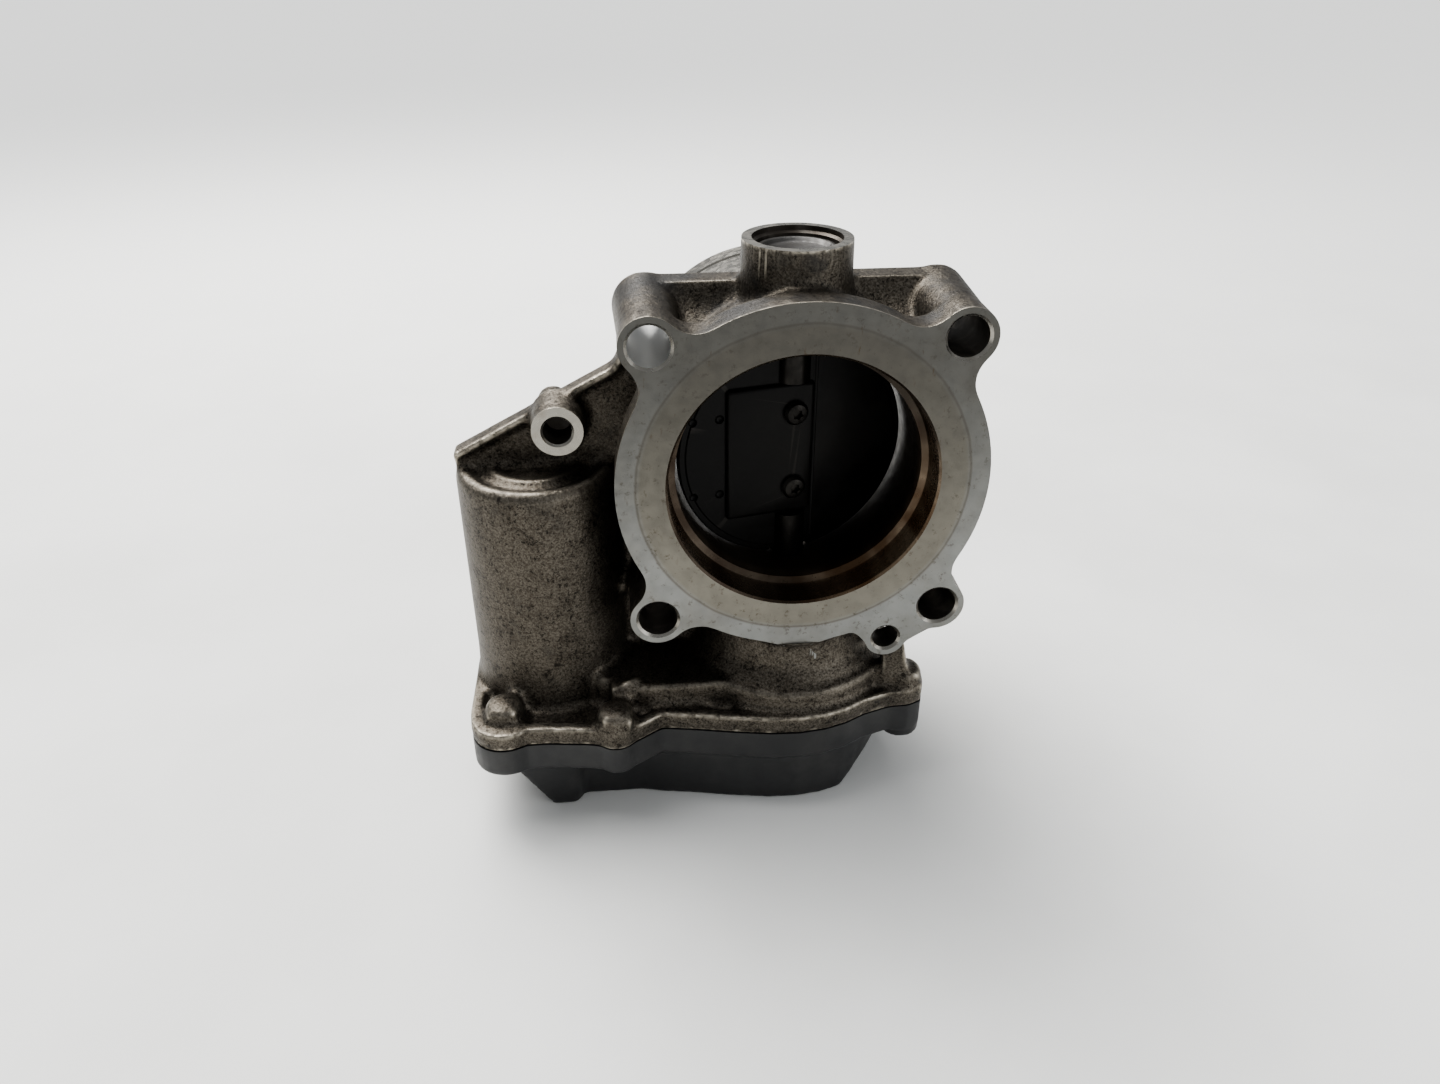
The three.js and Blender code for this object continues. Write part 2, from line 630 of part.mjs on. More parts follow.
// The two meshes are set tooth to gap: angles from each wheel to the one it drives.
const aimIdler = Math.atan2(IDLER.y, IDLER.x);
const aimMotor = Math.atan2(MOTOR.y - IDLER.y, MOTOR.x - IDLER.x);
const step = (teeth) => (2 * Math.PI) / teeth;
const nearest = (angle, teeth) => Math.round(angle / step(teeth)) * step(teeth);

function makeSector() {
  const [from, to] = SECTOR_ARC.map((deg) => THREE.MathUtils.degToRad(deg));
  const phase = aimIdler - nearest(aimIdler - from, TEETH.sector);
  const count = Math.floor((to - phase) / step(TEETH.sector)) + 1;
  const points = toothPoints(TEETH.sector, 0, count, phase);
  const web = pitch(TEETH.sector) - DEDENDUM - 0.5;
  const last = phase + (count - 0.5) * step(TEETH.sector);
  const first = phase - 0.5 * step(TEETH.sector);
  const foot = (a) => [[web * Math.cos(a), web * Math.sin(a)], [6 * Math.cos(a), 6 * Math.sin(a)]];
  const outline = [...points, ...foot(last), ...foot(first).reverse()];
  const hub = rodZ(10, ...LEVEL.sector, [0, 0], 32);
  const sector = slabZ(polygon(outline), ...LEVEL.sector).add(hub);
  return sector.subtract(rodZ(SHAFT.r + GAP, 0, 30, [0, 0], 24));
}
place("sector_gear", makeSector(), MATERIAL.gear);
place("sensor_magnet", tubeZ(4.5, 8, 4.6, LEVEL.sector[0] - GAP), MATERIAL.magnet);

// ---------------------------------------------------------------- idler
// At the mesh a tooth of one wheel faces a gap of the other.
function makeIdler() {
  const small = wheel(TEETH.small, LEVEL.small, aimIdler + Math.PI + step(TEETH.small) / 2, IDLER);
  const large = wheel(TEETH.large, LEVEL.large, aimMotor, IDLER);
  const neck = rodZ(8.5, LEVEL.large[0], LEVEL.large[1] + 1, [IDLER.x, IDLER.y], 32);
  return union(small, large, neck).subtract(rodZ(IDLER.pinR + GAP, 0, 30, [IDLER.x, IDLER.y], 20));
}
place("intermediate_gear", makeIdler(), MATERIAL.gear);
place("intermediate_pin", rodZ(IDLER.pinR, 2.8, 31, [IDLER.x, IDLER.y], 20), MATERIAL.steel);

// ---------------------------------------------------------------- motor
const motorAt = [MOTOR.x, MOTOR.y];
const canProfile = [
  [2.6, 78.6],
  [14.6, 78.6],
  [14.6, 25.2],
  [MOTOR.canR, 25.2],
  [MOTOR.canR, 79],
  [14.8, 80],
  [2.6, 80],
];
place("motor_can", turnedZ(canProfile, motorAt, 40), MATERIAL.zinc);
for (const [name, from] of [["motor_magnet_left", 120], ["motor_magnet_right", -60]]) {
  const arc = new THREE.Shape();
  const [a, b] = [from, from + 120].map((deg) => THREE.MathUtils.degToRad(deg));
  arc.absarc(0, 0, 14.2, a, b, false);
  arc.absarc(0, 0, 11, b, a, true);
  place(name, slabZ(arc, 34, 70).translate([MOTOR.x, MOTOR.y, 0]), MATERIAL.magnet);
}
place("motor_armature", tubeZ(1.9, 7.5, 38, 64, motorAt), MATERIAL.steel);
place("motor_shaft", rodZ(1.6, 14, 79.6, motorAt, 16), MATERIAL.steel);

function makeMotorPlate() {
  const [z0, z1] = [21.6, 24.7];
  const tabs = MOTOR_SCREWS.map((at) => rodZ(MOTOR.tabR, z0, z1, at, 16));
  const bridge = MOTOR_SCREWS.map(([x, y]) => rodZ(5, z0, z1, [x + (MOTOR.x - x) * 0.2, y * 0.8], 16));
  let body = union(rodZ(14.8, z0, z1, motorAt, 32), ...tabs, ...bridge);
  body = body.subtract(rodZ(4, 0, 40, motorAt, 24));
  for (const at of MOTOR_SCREWS) body = body.subtract(rodZ(SCREW.r + GAP, 0, 40, at, 16));
  return body;
}
place("motor_end_plate", makeMotorPlate(), MATERIAL.zinc);
place("motor_bush", tubeZ(1.9, 3.7, 21.3, 24.9, motorAt, 20), MATERIAL.brass);
const pinion = wheel(TEETH.pinion, LEVEL.pinion, aimMotor + Math.PI + step(TEETH.pinion) / 2, MOTOR);
place("motor_pinion", pinion.subtract(rodZ(1.9, 0, 40, motorAt, 16)), MATERIAL.brass);
place("motor_wave_washer", tubeZ(9, 14, 80.4, 81.6, motorAt, 24), MATERIAL.spring);
for (const [name, x] of [["motor_terminal_left", -64], ["motor_terminal_right", -59]]) {
  place(name, block([x, 11.2, 12], [x + 3, 11.9, 21.3]), MATERIAL.brass);
}
MOTOR_SCREWS.forEach(([x, y], i) => {
  const screw = rodZ(SCREW.r, 20, 31, [x, y], 16).add(rodZ(2.9, 19.9, 21.3, [x, y], 16));
  place(`motor_screw_${i + 1}`, screw, MATERIAL.zinc);
});

// ---------------------------------------------------------------- cover
function makeCover() {
  const band = caseSlab(COVER.bandZ, COVER.seamZ, 0).add(caseEars(COVER.bandZ, COVER.seamZ));
  const [topL, topR] = COVER.slantTop;
  const [lowL, lowR] = COVER.slantBottom;
  // the space between the two slanted end walls, open above the band
  const slants = (grow, z0) => {
    const outline = [
      [lowL - grow, z0],
      [lowR + grow, z0],
      [topR + grow, COVER.bandZ],
      [60, COVER.bandZ],
      [60, 40],
      [-90, 40],
      [-90, COVER.bandZ],
      [topL - grow, COVER.bandZ],
    ];
    return slabY(polygon(outline), -60, 60);
  };
  const box = caseSlab(0, COVER.bandZ + EPS, COVER.inset).intersect(slants(0, 0));
  const inside = caseSlab(COVER.floor, COVER.seamZ + EPS, COVER.inset + COVER.wall);
  const hollow = inside.intersect(slants(-COVER.wall, COVER.floor));
  const c = CONNECTOR;
  const shroud = block([c.x0, c.y0, c.z0], [c.x1, c.y1, c.z1]);
  const socketLow = [c.x0 + c.wall, c.floorY, c.z0 + c.wall];
  const socket = block(socketLow, [c.x1 - c.wall, c.y1 + EPS, c.z1 - c.wall]);
  const post = tubeZ(IDLER.pinR + GAP, 4.5, COVER.floor - EPS, 6.2, [IDLER.x, IDLER.y], 24);
  const wells = columns(SCREW.sinkR, -EPS, COVER.bandZ);
  let body = band.add(box).subtract(hollow.subtract(columns(SCREW.sinkR + 2, -EPS, 40)));
  body = body.add(post).add(shroud.subtract(hollow)).subtract(socket);
  body = body.subtract(wells).subtract(columns(SCREW.r + GAP, 0, 40));
  return body.subtract(makeSeal(GAP, SEAL.grooveZ, COVER.seamZ + EPS));
}

// The seal follows the case just inside its edge; grow widens it to its groove.
function makeSeal(grow, z0, z1) {
  const inner = caseSlab(z0 - EPS, z1 + EPS, SEAL.inset + SEAL.width + grow);
  return caseSlab(z0, z1, SEAL.inset - grow).subtract(inner);
}

place("gear_cover", makeCover(), MATERIAL.cover);
place("cover_seal", makeSeal(0, SEAL.z0, COVER.seamZ + 0.1), MATERIAL.rubber);
SCREW_PLACES.forEach((at, i) => {
  const shank = rodZ(SCREW.r, 15, SCREW.tipZ, at, 12);
  const head = rodZ(SCREW.headR, SCREW.headZ, SCREW.washerZ, at, 16);
  place(`cover_screw_${i + 1}`, shank.add(head), MATERIAL.zinc);
});
const board = block([-22, -13, 2.8], [9, 15, 4]);
place("sensor_board", board.subtract(rodZ(5.2, 0, 9, [IDLER.x, IDLER.y])), MATERIAL.board);
for (let i = 0; i < 6; i++) {
  const { x0, x1, floorY, pinZ, pinStepX, pinStepZ, pinHalf, pinEndY } = CONNECTOR;
  const x = (x0 + x1) / 2 + ((i % 3) - 1) * pinStepX;
  const z = pinZ + Math.floor(i / 3) * pinStepZ;
  const pin = block([x - pinHalf, floorY + GAP, z - pinHalf], [x + pinHalf, pinEndY, z + pinHalf]);
  place(`connector_pin_${i + 1}`, pin, MATERIAL.brass);
}

export default root;
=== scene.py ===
"""Looks of an electronic throttle body: a used die casting, its oily plate and its black gear cover.

Every class holds one sub-assembly of the object. Sizes are millimetres in the CAD model's frame and
become metres when a mesh is finished.
"""

from __future__ import annotations

import logging
import math
from dataclasses import dataclass, field
from enum import Enum
from typing import Iterable, Sequence

import bmesh
import bpy
from mathutils import Matrix, Vector

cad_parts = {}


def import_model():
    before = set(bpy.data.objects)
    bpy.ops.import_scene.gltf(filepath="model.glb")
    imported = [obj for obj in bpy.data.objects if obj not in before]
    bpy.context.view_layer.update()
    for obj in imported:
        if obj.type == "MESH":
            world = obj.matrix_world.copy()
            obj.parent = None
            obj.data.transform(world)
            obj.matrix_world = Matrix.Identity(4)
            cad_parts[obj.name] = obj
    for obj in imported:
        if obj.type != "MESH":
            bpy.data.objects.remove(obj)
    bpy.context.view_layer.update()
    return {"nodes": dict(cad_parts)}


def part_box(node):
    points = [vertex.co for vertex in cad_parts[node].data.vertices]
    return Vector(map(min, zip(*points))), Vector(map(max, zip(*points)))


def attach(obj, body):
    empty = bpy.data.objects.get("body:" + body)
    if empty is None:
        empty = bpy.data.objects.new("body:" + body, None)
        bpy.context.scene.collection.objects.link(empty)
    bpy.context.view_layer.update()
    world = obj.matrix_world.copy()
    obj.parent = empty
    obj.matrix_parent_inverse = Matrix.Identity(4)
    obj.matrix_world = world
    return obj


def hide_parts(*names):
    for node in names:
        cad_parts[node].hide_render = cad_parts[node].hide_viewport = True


MM = 0.001
Point2 = tuple[float, float]
Point3 = tuple[float, float, float]
log = logging.getLogger("throttle_body")


class Axis(Enum):
    """The axis that a prism runs along or a turned shape turns about."""

    X = 0
    Y = 1
    Z = 2

    @property
    def vector(self) -> Vector:
        """The axis as a unit vector."""
        return Vector([1.0 if i == self.value else 0.0 for i in range(3)])

    def lift(self, a: float, b: float, along: float) -> Vector:
        """A point of a flat drawing, (a, b), lifted to a place along this axis.

        Args:
            a: First drawing coordinate: X, or Y where the axis is X.
            b: Second drawing coordinate: Z, or Y where the axis is Z.
            along: Place along the axis.

        Returns:
            The point in space.
        """
        if self is Axis.X:
            return Vector((along, a, b))
        if self is Axis.Y:
            return Vector((a, along, b))
        return Vector((a, b, along))


# ------------------------------------------------------------------ drawing
def arc(centre: Point2, radius: float, start: float, end: float, steps: int) -> list[Point2]:
    """Points along a circular arc.

    Args:
        centre: Centre of the circle.
        radius: Its radius.
        start: First angle, in degrees.
        end: Last angle, in degrees.
        steps: Number of chords.

    Returns:
        steps + 1 points, both ends included.
    """
    angles = [math.radians(start + (end - start) * i / steps) for i in range(steps + 1)]
    return [(centre[0] + radius * math.cos(t), centre[1] + radius * math.sin(t)) for t in angles]


def polar(centre: Point2, radius: float, degrees: float) -> Point2:
    """The point at a distance and direction from a centre."""
    return arc(centre, radius, degrees, degrees, 1)[0]


def rounded_rectangle(low: Point2, high: Point2, radius: float, steps: int = 10) -> list[Point2]:
    """A rectangle with round corners, anticlockwise.

    Args:
        low: Lower left corner.
        high: Upper right corner.
        radius: Corner radius.
        steps: Chords in each corner.

    Returns:
        The outline's points.
    """
    (x0, y0), (x1, y1) = low, high
    return (
        arc((x1 - radius, y0 + radius), radius, -90, 0, steps)
        + arc((x1 - radius, y1 - radius), radius, 0, 90, steps)
        + arc((x0 + radius, y1 - radius), radius, 90, 180, steps)
        + arc((x0 + radius, y0 + radius), radius, 180, 270, steps)
    )


def eared_disc(radius: float, ears: Sequence[tuple[float, float, float]], fillet: float) -> list[Point2]:
    """A disc about the origin with round ears, each joined to it by hollow fillets.

    Args:
        radius: Radius of the disc.
        ears: x, y and radius of each ear, anticlockwise.
        fillet: Radius of the hollow fillets.

    Returns:
        The outline's points.
    """

    def corner(ear: tuple[float, float, float]) -> tuple[float, float]:
        """Direction of an ear, and the angle from it to its fillets' centres."""
        x, y, ear_radius = ear
        reach = math.hypot(x, y)
        cosine = (reach**2 + (radius + fillet) ** 2 - (ear_radius + fillet) ** 2) / (
            2 * reach * (radius + fillet)
        )
        return math.degrees(math.atan2(y, x)), math.degrees(math.acos(cosine))

    outline: list[Point2] = []
    for index, ear in enumerate(ears):
        x, y, ear_radius = ear
        aim, side = corner(ear)
        before = polar((0, 0), radius + fillet, aim - side)
        after = polar((0, 0), radius + fillet, aim + side)
        turn = (math.degrees(math.atan2(y - before[1], x - before[0])) - aim) % 360
        outline += arc(before, fillet, aim - side + 180, aim + turn, 10)
        outline += arc((x, y), ear_radius, aim + turn - 180, aim - turn + 180, 28)
        outline += arc(after, fillet, aim - turn, aim + side - 180, 10)
        next_aim, next_side = corner(ears[(index + 1) % len(ears)])
        gap = (next_aim - aim) % 360 - next_side
        if gap > side:
            outline += arc((0, 0), radius, aim + side, aim + gap, max(2, int((gap - side) / 2)))[1:-1]
    return outline


# ------------------------------------------------------------------ solids
@dataclass
class Solid:
    """A closed shape in millimetres, held in a bmesh until it is finished."""

    mesh: bmesh.types.BMesh = field(default_factory=bmesh.new)

    @staticmethod
    def turned(
        profile: Sequence[Point2], axis: Axis, centre: Point3 = (0, 0, 0), steps: int = 96
    ) -> Solid:
        """Turns a profile about an axis.

        Args:
            profile: Radius and place along the axis of each corner, as a closed outline.
            axis: Axis to turn about.
            centre: A point on that axis.
            steps: Number of facets round it.

        Returns:
            The closed solid.
        """
        solid = Solid()
        mesh, side = solid.mesh, Axis.X.vector if axis is not Axis.X else Axis.Y.vector
        verts = [mesh.verts.new(side * r + axis.vector * along) for r, along in profile]
        edges = [mesh.edges.new((verts[i - 1], verts[i])) for i in range(len(verts))]
        bmesh.ops.spin(
            mesh,
            geom=verts + edges,
            cent=(0, 0, 0),
            axis=axis.vector,
            angle=math.tau,
            steps=steps,
            use_merge=True,
        )
        bmesh.ops.remove_doubles(mesh, verts=mesh.verts, dist=1e-4)
        loose = [e for e in mesh.edges if not e.link_faces]
        bmesh.ops.delete(mesh, geom=loose, context="EDGES")
        bmesh.ops.translate(mesh, vec=Vector(centre), verts=mesh.verts)
        return solid.face_outward()

    @staticmethod
    def prism(outline: Sequence[Point2], axis: Axis, low: float, high: float) -> Solid:
        """Extrudes a flat outline along an axis.

        Args:
            outline: Corners of the outline.
            axis: Axis to extrude along.
            low: Place where it starts.
            high: Place where it ends.

        Returns:
            The closed solid.
        """
        solid = Solid()
        mesh = solid.mesh
        floor = mesh.faces.new([mesh.verts.new(axis.lift(a, b, low)) for a, b in outline])
        grown = bmesh.ops.extrude_face_region(mesh, geom=[floor])["geom"]
        moved = [g for g in grown if isinstance(g, bmesh.types.BMVert)]
        bmesh.ops.translate(mesh, vec=axis.vector * (high - low), verts=moved)
        return solid.face_outward()

    @staticmethod
    def rod(radius: float, axis: Axis, low: float, high: float, at: Point2, steps: int = 48) -> Solid:
        """A plain cylinder: radius, axis, its two ends, and its centre across the axis."""
        return Solid.prism(arc(at, radius, 0, 360 - 360 / steps, steps - 1), axis, low, high)

    @staticmethod
    def box(low: Point3, high: Point3, bevel: float = 0.0, segments: int = 3) -> Solid:
        """A box between two corners.

        Args:
            low: Lowest corner.
            high: Highest corner.
            bevel: Radius of its edges, or 0 for sharp ones.
            segments: Facets across each round edge.

        Returns:
            The closed solid.
        """
        solid = Solid()
        size = Vector(high) - Vector(low)
        made = bmesh.ops.create_cube(solid.mesh, size=1.0)
        bmesh.ops.scale(solid.mesh, vec=size, verts=made["verts"])
        bmesh.ops.translate(solid.mesh, vec=(Vector(high) + Vector(low)) / 2, verts=made["verts"])
        return solid.bevelled(bevel, segments) if bevel else solid

    def bevelled(self, offset: float, segments: int) -> Solid:
        """Rounds all edges.

        Args:
            offset: Width of the rounding.
            segments: Facets across it.

        Returns:
            This solid.
        """
        bmesh.ops.bevel(
            self.mesh,
            geom=list(self.mesh.edges),
            offset=offset,
            offset_type="OFFSET",
            segments=segments,
            profile=0.5,
            affect="EDGES",
            material=-1,
            clamp_overlap=True,
        )
        return self

    def face_outward(self) -> Solid:
        """Turns all faces outward and returns this solid."""
        bmesh.ops.recalc_face_normals(self.mesh, faces=self.mesh.faces)
        return self

    def turned_by(self, degrees: float, axis: Axis, about: Point3 = (0, 0, 0)) -> Solid:
        """Turns the solid about an axis through a point and returns it."""
        matrix = Matrix.Rotation(math.radians(degrees), 3, axis.vector)
        bmesh.ops.rotate(self.mesh, cent=Vector(about), matrix=matrix, verts=self.mesh.verts)
        return self

    def moved(self, by: Point3) -> Solid:
        """Moves the solid and returns it."""
        bmesh.ops.translate(self.mesh, vec=Vector(by), verts=self.mesh.verts)
        return self

    def finished(self, name: str) -> bpy.types.Object:
        """Makes the object: metres, at the world's origin.

        Args:
            name: The object's name.

        Returns:
            The object, in the scene.
        """
        bmesh.ops.scale(self.mesh, vec=(MM, MM, MM), verts=self.mesh.verts)
        data = bpy.data.meshes.new(name)
        self.mesh.to_mesh(data)
        self.mesh.free()
        made = bpy.data.objects.new(name, data)
        bpy.context.scene.collection.objects.link(made)
        return made


def joined(solids: Iterable[Solid]) -> Solid:
    """All shells in one solid; they may overlap, because a remesh merges them.

    Args:
        solids: The shells.

    Returns:
        One solid that holds them all.
    """
    whole = Solid()
    for solid in solids:
        scratch = bpy.data.meshes.new("scratch")
        solid.mesh.to_mesh(scratch)
        whole.mesh.from_mesh(scratch)
        solid.mesh.free()
        bpy.data.meshes.remove(scratch)
    return whole


def bake_modifiers(piece: bpy.types.Object) -> None:
    """Applies a piece's modifiers to its mesh."""
    graph = bpy.context.evaluated_depsgraph_get()
    data = bpy.data.meshes.new_from_object(piece.evaluated_get(graph), depsgraph=graph)
    old = piece.data
    piece.modifiers.clear()
    piece.data = data
    data.name = piece.name
    bpy.data.meshes.remove(old)


class Cut(Enum):
    """How a tool changes a piece."""

    AWAY = "DIFFERENCE"
    JOIN = "UNION"


def machine(piece: bpy.types.Object, tools: Iterable[Solid], cut: Cut = Cut.AWAY) -> None:
    """Cuts or joins tools with a piece, one after another.

    Args:
        piece: The piece to change.
        tools: The solids to use.
        cut: What to do with each.
    """
    cutters = [tool.finished("tool") for tool in tools]
    for cutter in cutters:
        change = piece.modifiers.new("machine", "BOOLEAN")
        change.object = cutter
        change.operation = cut.value
        change.solver = "MANIFOLD"
    bake_modifiers(piece)
    for cutter in cutters:
        data = cutter.data
        bpy.data.objects.remove(cutter)
        bpy.data.meshes.remove(data)


@dataclass
class Mould:
    """Turns overlapping shells into one skin with rounded corners, as a casting or moulding has."""

    voxel: float
    fillet: float
    rounds: int
    triangles: int

    def skin(self, piece: bpy.types.Object) -> None:
        """Adds a remesh that merges everything into one closed skin."""
        skin = piece.modifiers.new("skin", "REMESH")
        skin.mode = "VOXEL"
        skin.voxel_size = self.voxel * MM

    def cast(self, name: str, shells: Iterable[Solid]) -> bpy.types.Object:
        """Casts the shells.

        Args:
            name: Name of the piece.
            shells: Closed solids that overlap.

        Returns:
            The piece.
        """
        piece = joined(shells).finished(name)
        self.skin(piece)
        for reach in (self.fillet, -self.fillet):
            grow = piece.modifiers.new("grow", "DISPLACE")
            grow.mid_level = 0.0
            grow.strength = reach * MM
            self.skin(piece)
        smooth = piece.modifiers.new("rounding", "SMOOTH")
        smooth.factor = 0.5
        smooth.iterations = self.rounds
        bake_modifiers(piece)
        share = self.triangles / (2.0 * len(piece.data.polygons))
        if share < 1:
            thin = piece.modifiers.new("thin", "DECIMATE")
            thin.ratio = share
            bake_modifiers(piece)
        return piece


def shade(piece: bpy.types.Object, degrees: float = 32.0) -> None:
    """Smooth shading with sharp edges above an angle."""
    piece.data.polygons.foreach_set("use_smooth", [True] * len(piece.data.polygons))
    piece.data.set_sharp_from_angle(angle=math.radians(degrees))


# ------------------------------------------------------------------ materials
Socket = bpy.types.NodeSocket
Colour = tuple[float, float, float]


class Graph:
    """A material under construction, with short calls for the nodes that the finishes share."""

    def __init__(self, name: str) -> None:
        """Starts a material with one Principled shader.

        Args:
            name: Name of the material.
        """
        self.material = bpy.data.materials.new(name)
        self.material.use_nodes = True
        self.tree = self.material.node_tree
        self.shader = self.tree.nodes["Principled BSDF"]
        self.place = self.tree.nodes.new("ShaderNodeTexCoord").outputs["Object"]

    def link(self, source: Socket | float | Colour, target: Socket) -> None:
        """Feeds a socket from another socket, a number or a colour."""
        if isinstance(source, bpy.types.NodeSocket):
            self.tree.links.new(source, target)
        elif isinstance(source, tuple):
            target.default_value = (*source, 1.0) if len(target.default_value) == 4 else source
        else:
            target.default_value = source

    def noise(
        self, millimetres: float, detail: float = 3.0, rough: float = 0.55, stretch: Point3 = (1, 1, 1)
    ) -> Socket:
        """Fractal noise with blobs of about the given size.

        Args:
            millimetres: Size of the largest blobs.
            detail: Octaves below them.
            rough: Strength of those octaves.
            stretch: Scale along X, Y and Z.

        Returns:
            A value near 0.5.
        """
        node = self.tree.nodes.new("ShaderNodeTexNoise")
        node.inputs["Scale"].default_value = 1.0 / (millimetres * MM)
        node.inputs["Detail"].default_value = detail
        node.inputs["Roughness"].default_value = rough
        vector = self.place
        if stretch != (1, 1, 1):
            mapping = self.tree.nodes.new("ShaderNodeMapping")
            mapping.inputs["Scale"].default_value = stretch
            self.link(self.place, mapping.inputs["Vector"])
            vector = mapping.outputs["Vector"]
        self.link(vector, node.inputs["Vector"])
        return node.outputs["Fac"]

    def math(self, operation: str, a: Socket | float, b: Socket | float = 0.0) -> Socket:
        """One arithmetic step of two values."""
        node = self.tree.nodes.new("ShaderNodeMath")
        node.operation = operation
        self.link(a, node.inputs[0])
        self.link(b, node.inputs[1])
        return node.outputs[0]

    def ramp(
        self, value: Socket, low: float, high: float, to_low: float = 0.0, to_high: float = 1.0
    ) -> Socket:
        """A smooth step of a value.

        Args:
            value: The value.
            low: Where the step starts.
            high: Where it ends.
            to_low: Result below the step.
            to_high: Result above it.

        Returns:
            The stepped value.
        """
        node = self.tree.nodes.new("ShaderNodeMapRange")
        node.interpolation_type = "SMOOTHSTEP"
        self.link(value, node.inputs["Value"])
        for key, number in zip(("From Min", "From Max", "To Min", "To Max"), (low, high, to_low, to_high)):
            node.inputs[key].default_value = number
        return node.outputs["Result"]

    def mix(self, factor: Socket | float, a: Socket | Colour, b: Socket | Colour) -> Socket:
        """Blends two colours."""
        node = self.tree.nodes.new("ShaderNodeMix")
        node.data_type = "RGBA"
        self.link(factor, node.inputs[0])
        self.link(a, node.inputs[6])
        self.link(b, node.inputs[7])
        return node.outputs[2]

    def crevice(self, millimetres: float) -> Socket:
        """How deep in a corner a point lies, 0 in the open and 1 in a deep corner."""
        node = self.tree.nodes.new("ShaderNodeAmbientOcclusion")
        node.samples = 6
        node.inputs["Distance"].default_value = millimetres * MM
        return self.math("SUBTRACT", 1.0, node.outputs["AO"])

    def edge(self, low: float, high: float) -> Socket:
        """How far a point sticks out, from the mesh's own curvature."""
        return self.ramp(self.tree.nodes.new("ShaderNodeNewGeometry").outputs["Pointiness"], low, high)

    def axis(self, name: str) -> Socket:
        """One object coordinate, in metres."""
        node = self.tree.nodes.new("ShaderNodeSeparateXYZ")
        self.link(self.place, node.inputs[0])
        return node.outputs[name]

    def radius(self, centre: Point3, flatten: Point3) -> Socket:
        """Distance from an axis through a centre, in metres.

        Args:
            centre: A point on the axis, in millimetres.
            flatten: 0 along the axis and 1 across it.

        Returns:
            The distance.
        """
        mapping = self.tree.nodes.new("ShaderNodeMapping")
        mapping.inputs["Scale"].default_value = flatten
        mapping.inputs["Location"].default_value = [-c * MM * f for c, f in zip(centre, flatten)]
        self.link(self.place, mapping.inputs["Vector"])
        length = self.tree.nodes.new("ShaderNodeVectorMath")
        length.operation = "LENGTH"
        self.link(mapping.outputs["Vector"], length.inputs[0])
        return length.outputs["Value"]

    def finish(
        self, colour: Socket | Colour, roughness: Socket | float, metallic: Socket | float
    ) -> None:
        """Feeds the shader's three main sockets."""
        self.link(colour, self.shader.inputs["Base Color"])
        self.link(roughness, self.shader.inputs["Roughness"])
        self.link(metallic, self.shader.inputs["Metallic"])

    def bump(self, layers: Sequence[tuple[Socket, float]]) -> None:
        """Bumps the surface.

        Args:
            layers: Height maps with their depth in millimetres, coarse first.
        """
        normal: Socket | None = None
        for height, depth in layers:
            node = self.tree.nodes.new("ShaderNodeBump")
            node.inputs["Distance"].default_value = depth * MM
            self.link(height, node.inputs["Height"])
            if normal is not None:
                self.link(normal, node.inputs["Normal"])
            normal = node.outputs["Normal"]
        if normal is not None:
            self.link(normal, self.shader.inputs["Normal"])


@dataclass(frozen=True)
class Finish:
    """A plain finish: two tones in patches, with grain, and darker corners that are partly grimy and partly
    painted shade.
    """

    name: str
    base: Colour
    patch: Colour
    roughness: float
    metallic: float
    grain: float = 0.4
    grain_depth: float = 0.02
    grime_and_shade: float = 0.5
    coat: float = 0.0

    def material(self) -> bpy.types.Material:
        """Builds the material."""
        graph = Graph(self.name)
        patches = graph.ramp(graph.noise(6.0, 4), 0.35, 0.7)
        # Corners darken: partly grimy, partly painted shade from occlusion.
        dirt_and_shade = graph.math("MULTIPLY", graph.ramp(graph.crevice(3.0), 0.25, 0.9), self.grime_and_shade)
        tone = graph.mix(patches, self.base, self.patch)
        tone = graph.mix(dirt_and_shade, tone, (0.02, 0.017, 0.014))
        rough = graph.ramp(graph.noise(1.5, 4), 0.3, 0.7, self.roughness - 0.07, self.roughness + 0.1)
        graph.finish(tone, rough, self.metallic)
        graph.bump([(graph.noise(self.grain, 3), self.grain_depth)])
        if self.coat:
            graph.shader.inputs["Coat Weight"].default_value = self.coat
            graph.shader.inputs["Coat Roughness"].default_value = 0.12
        return graph.material


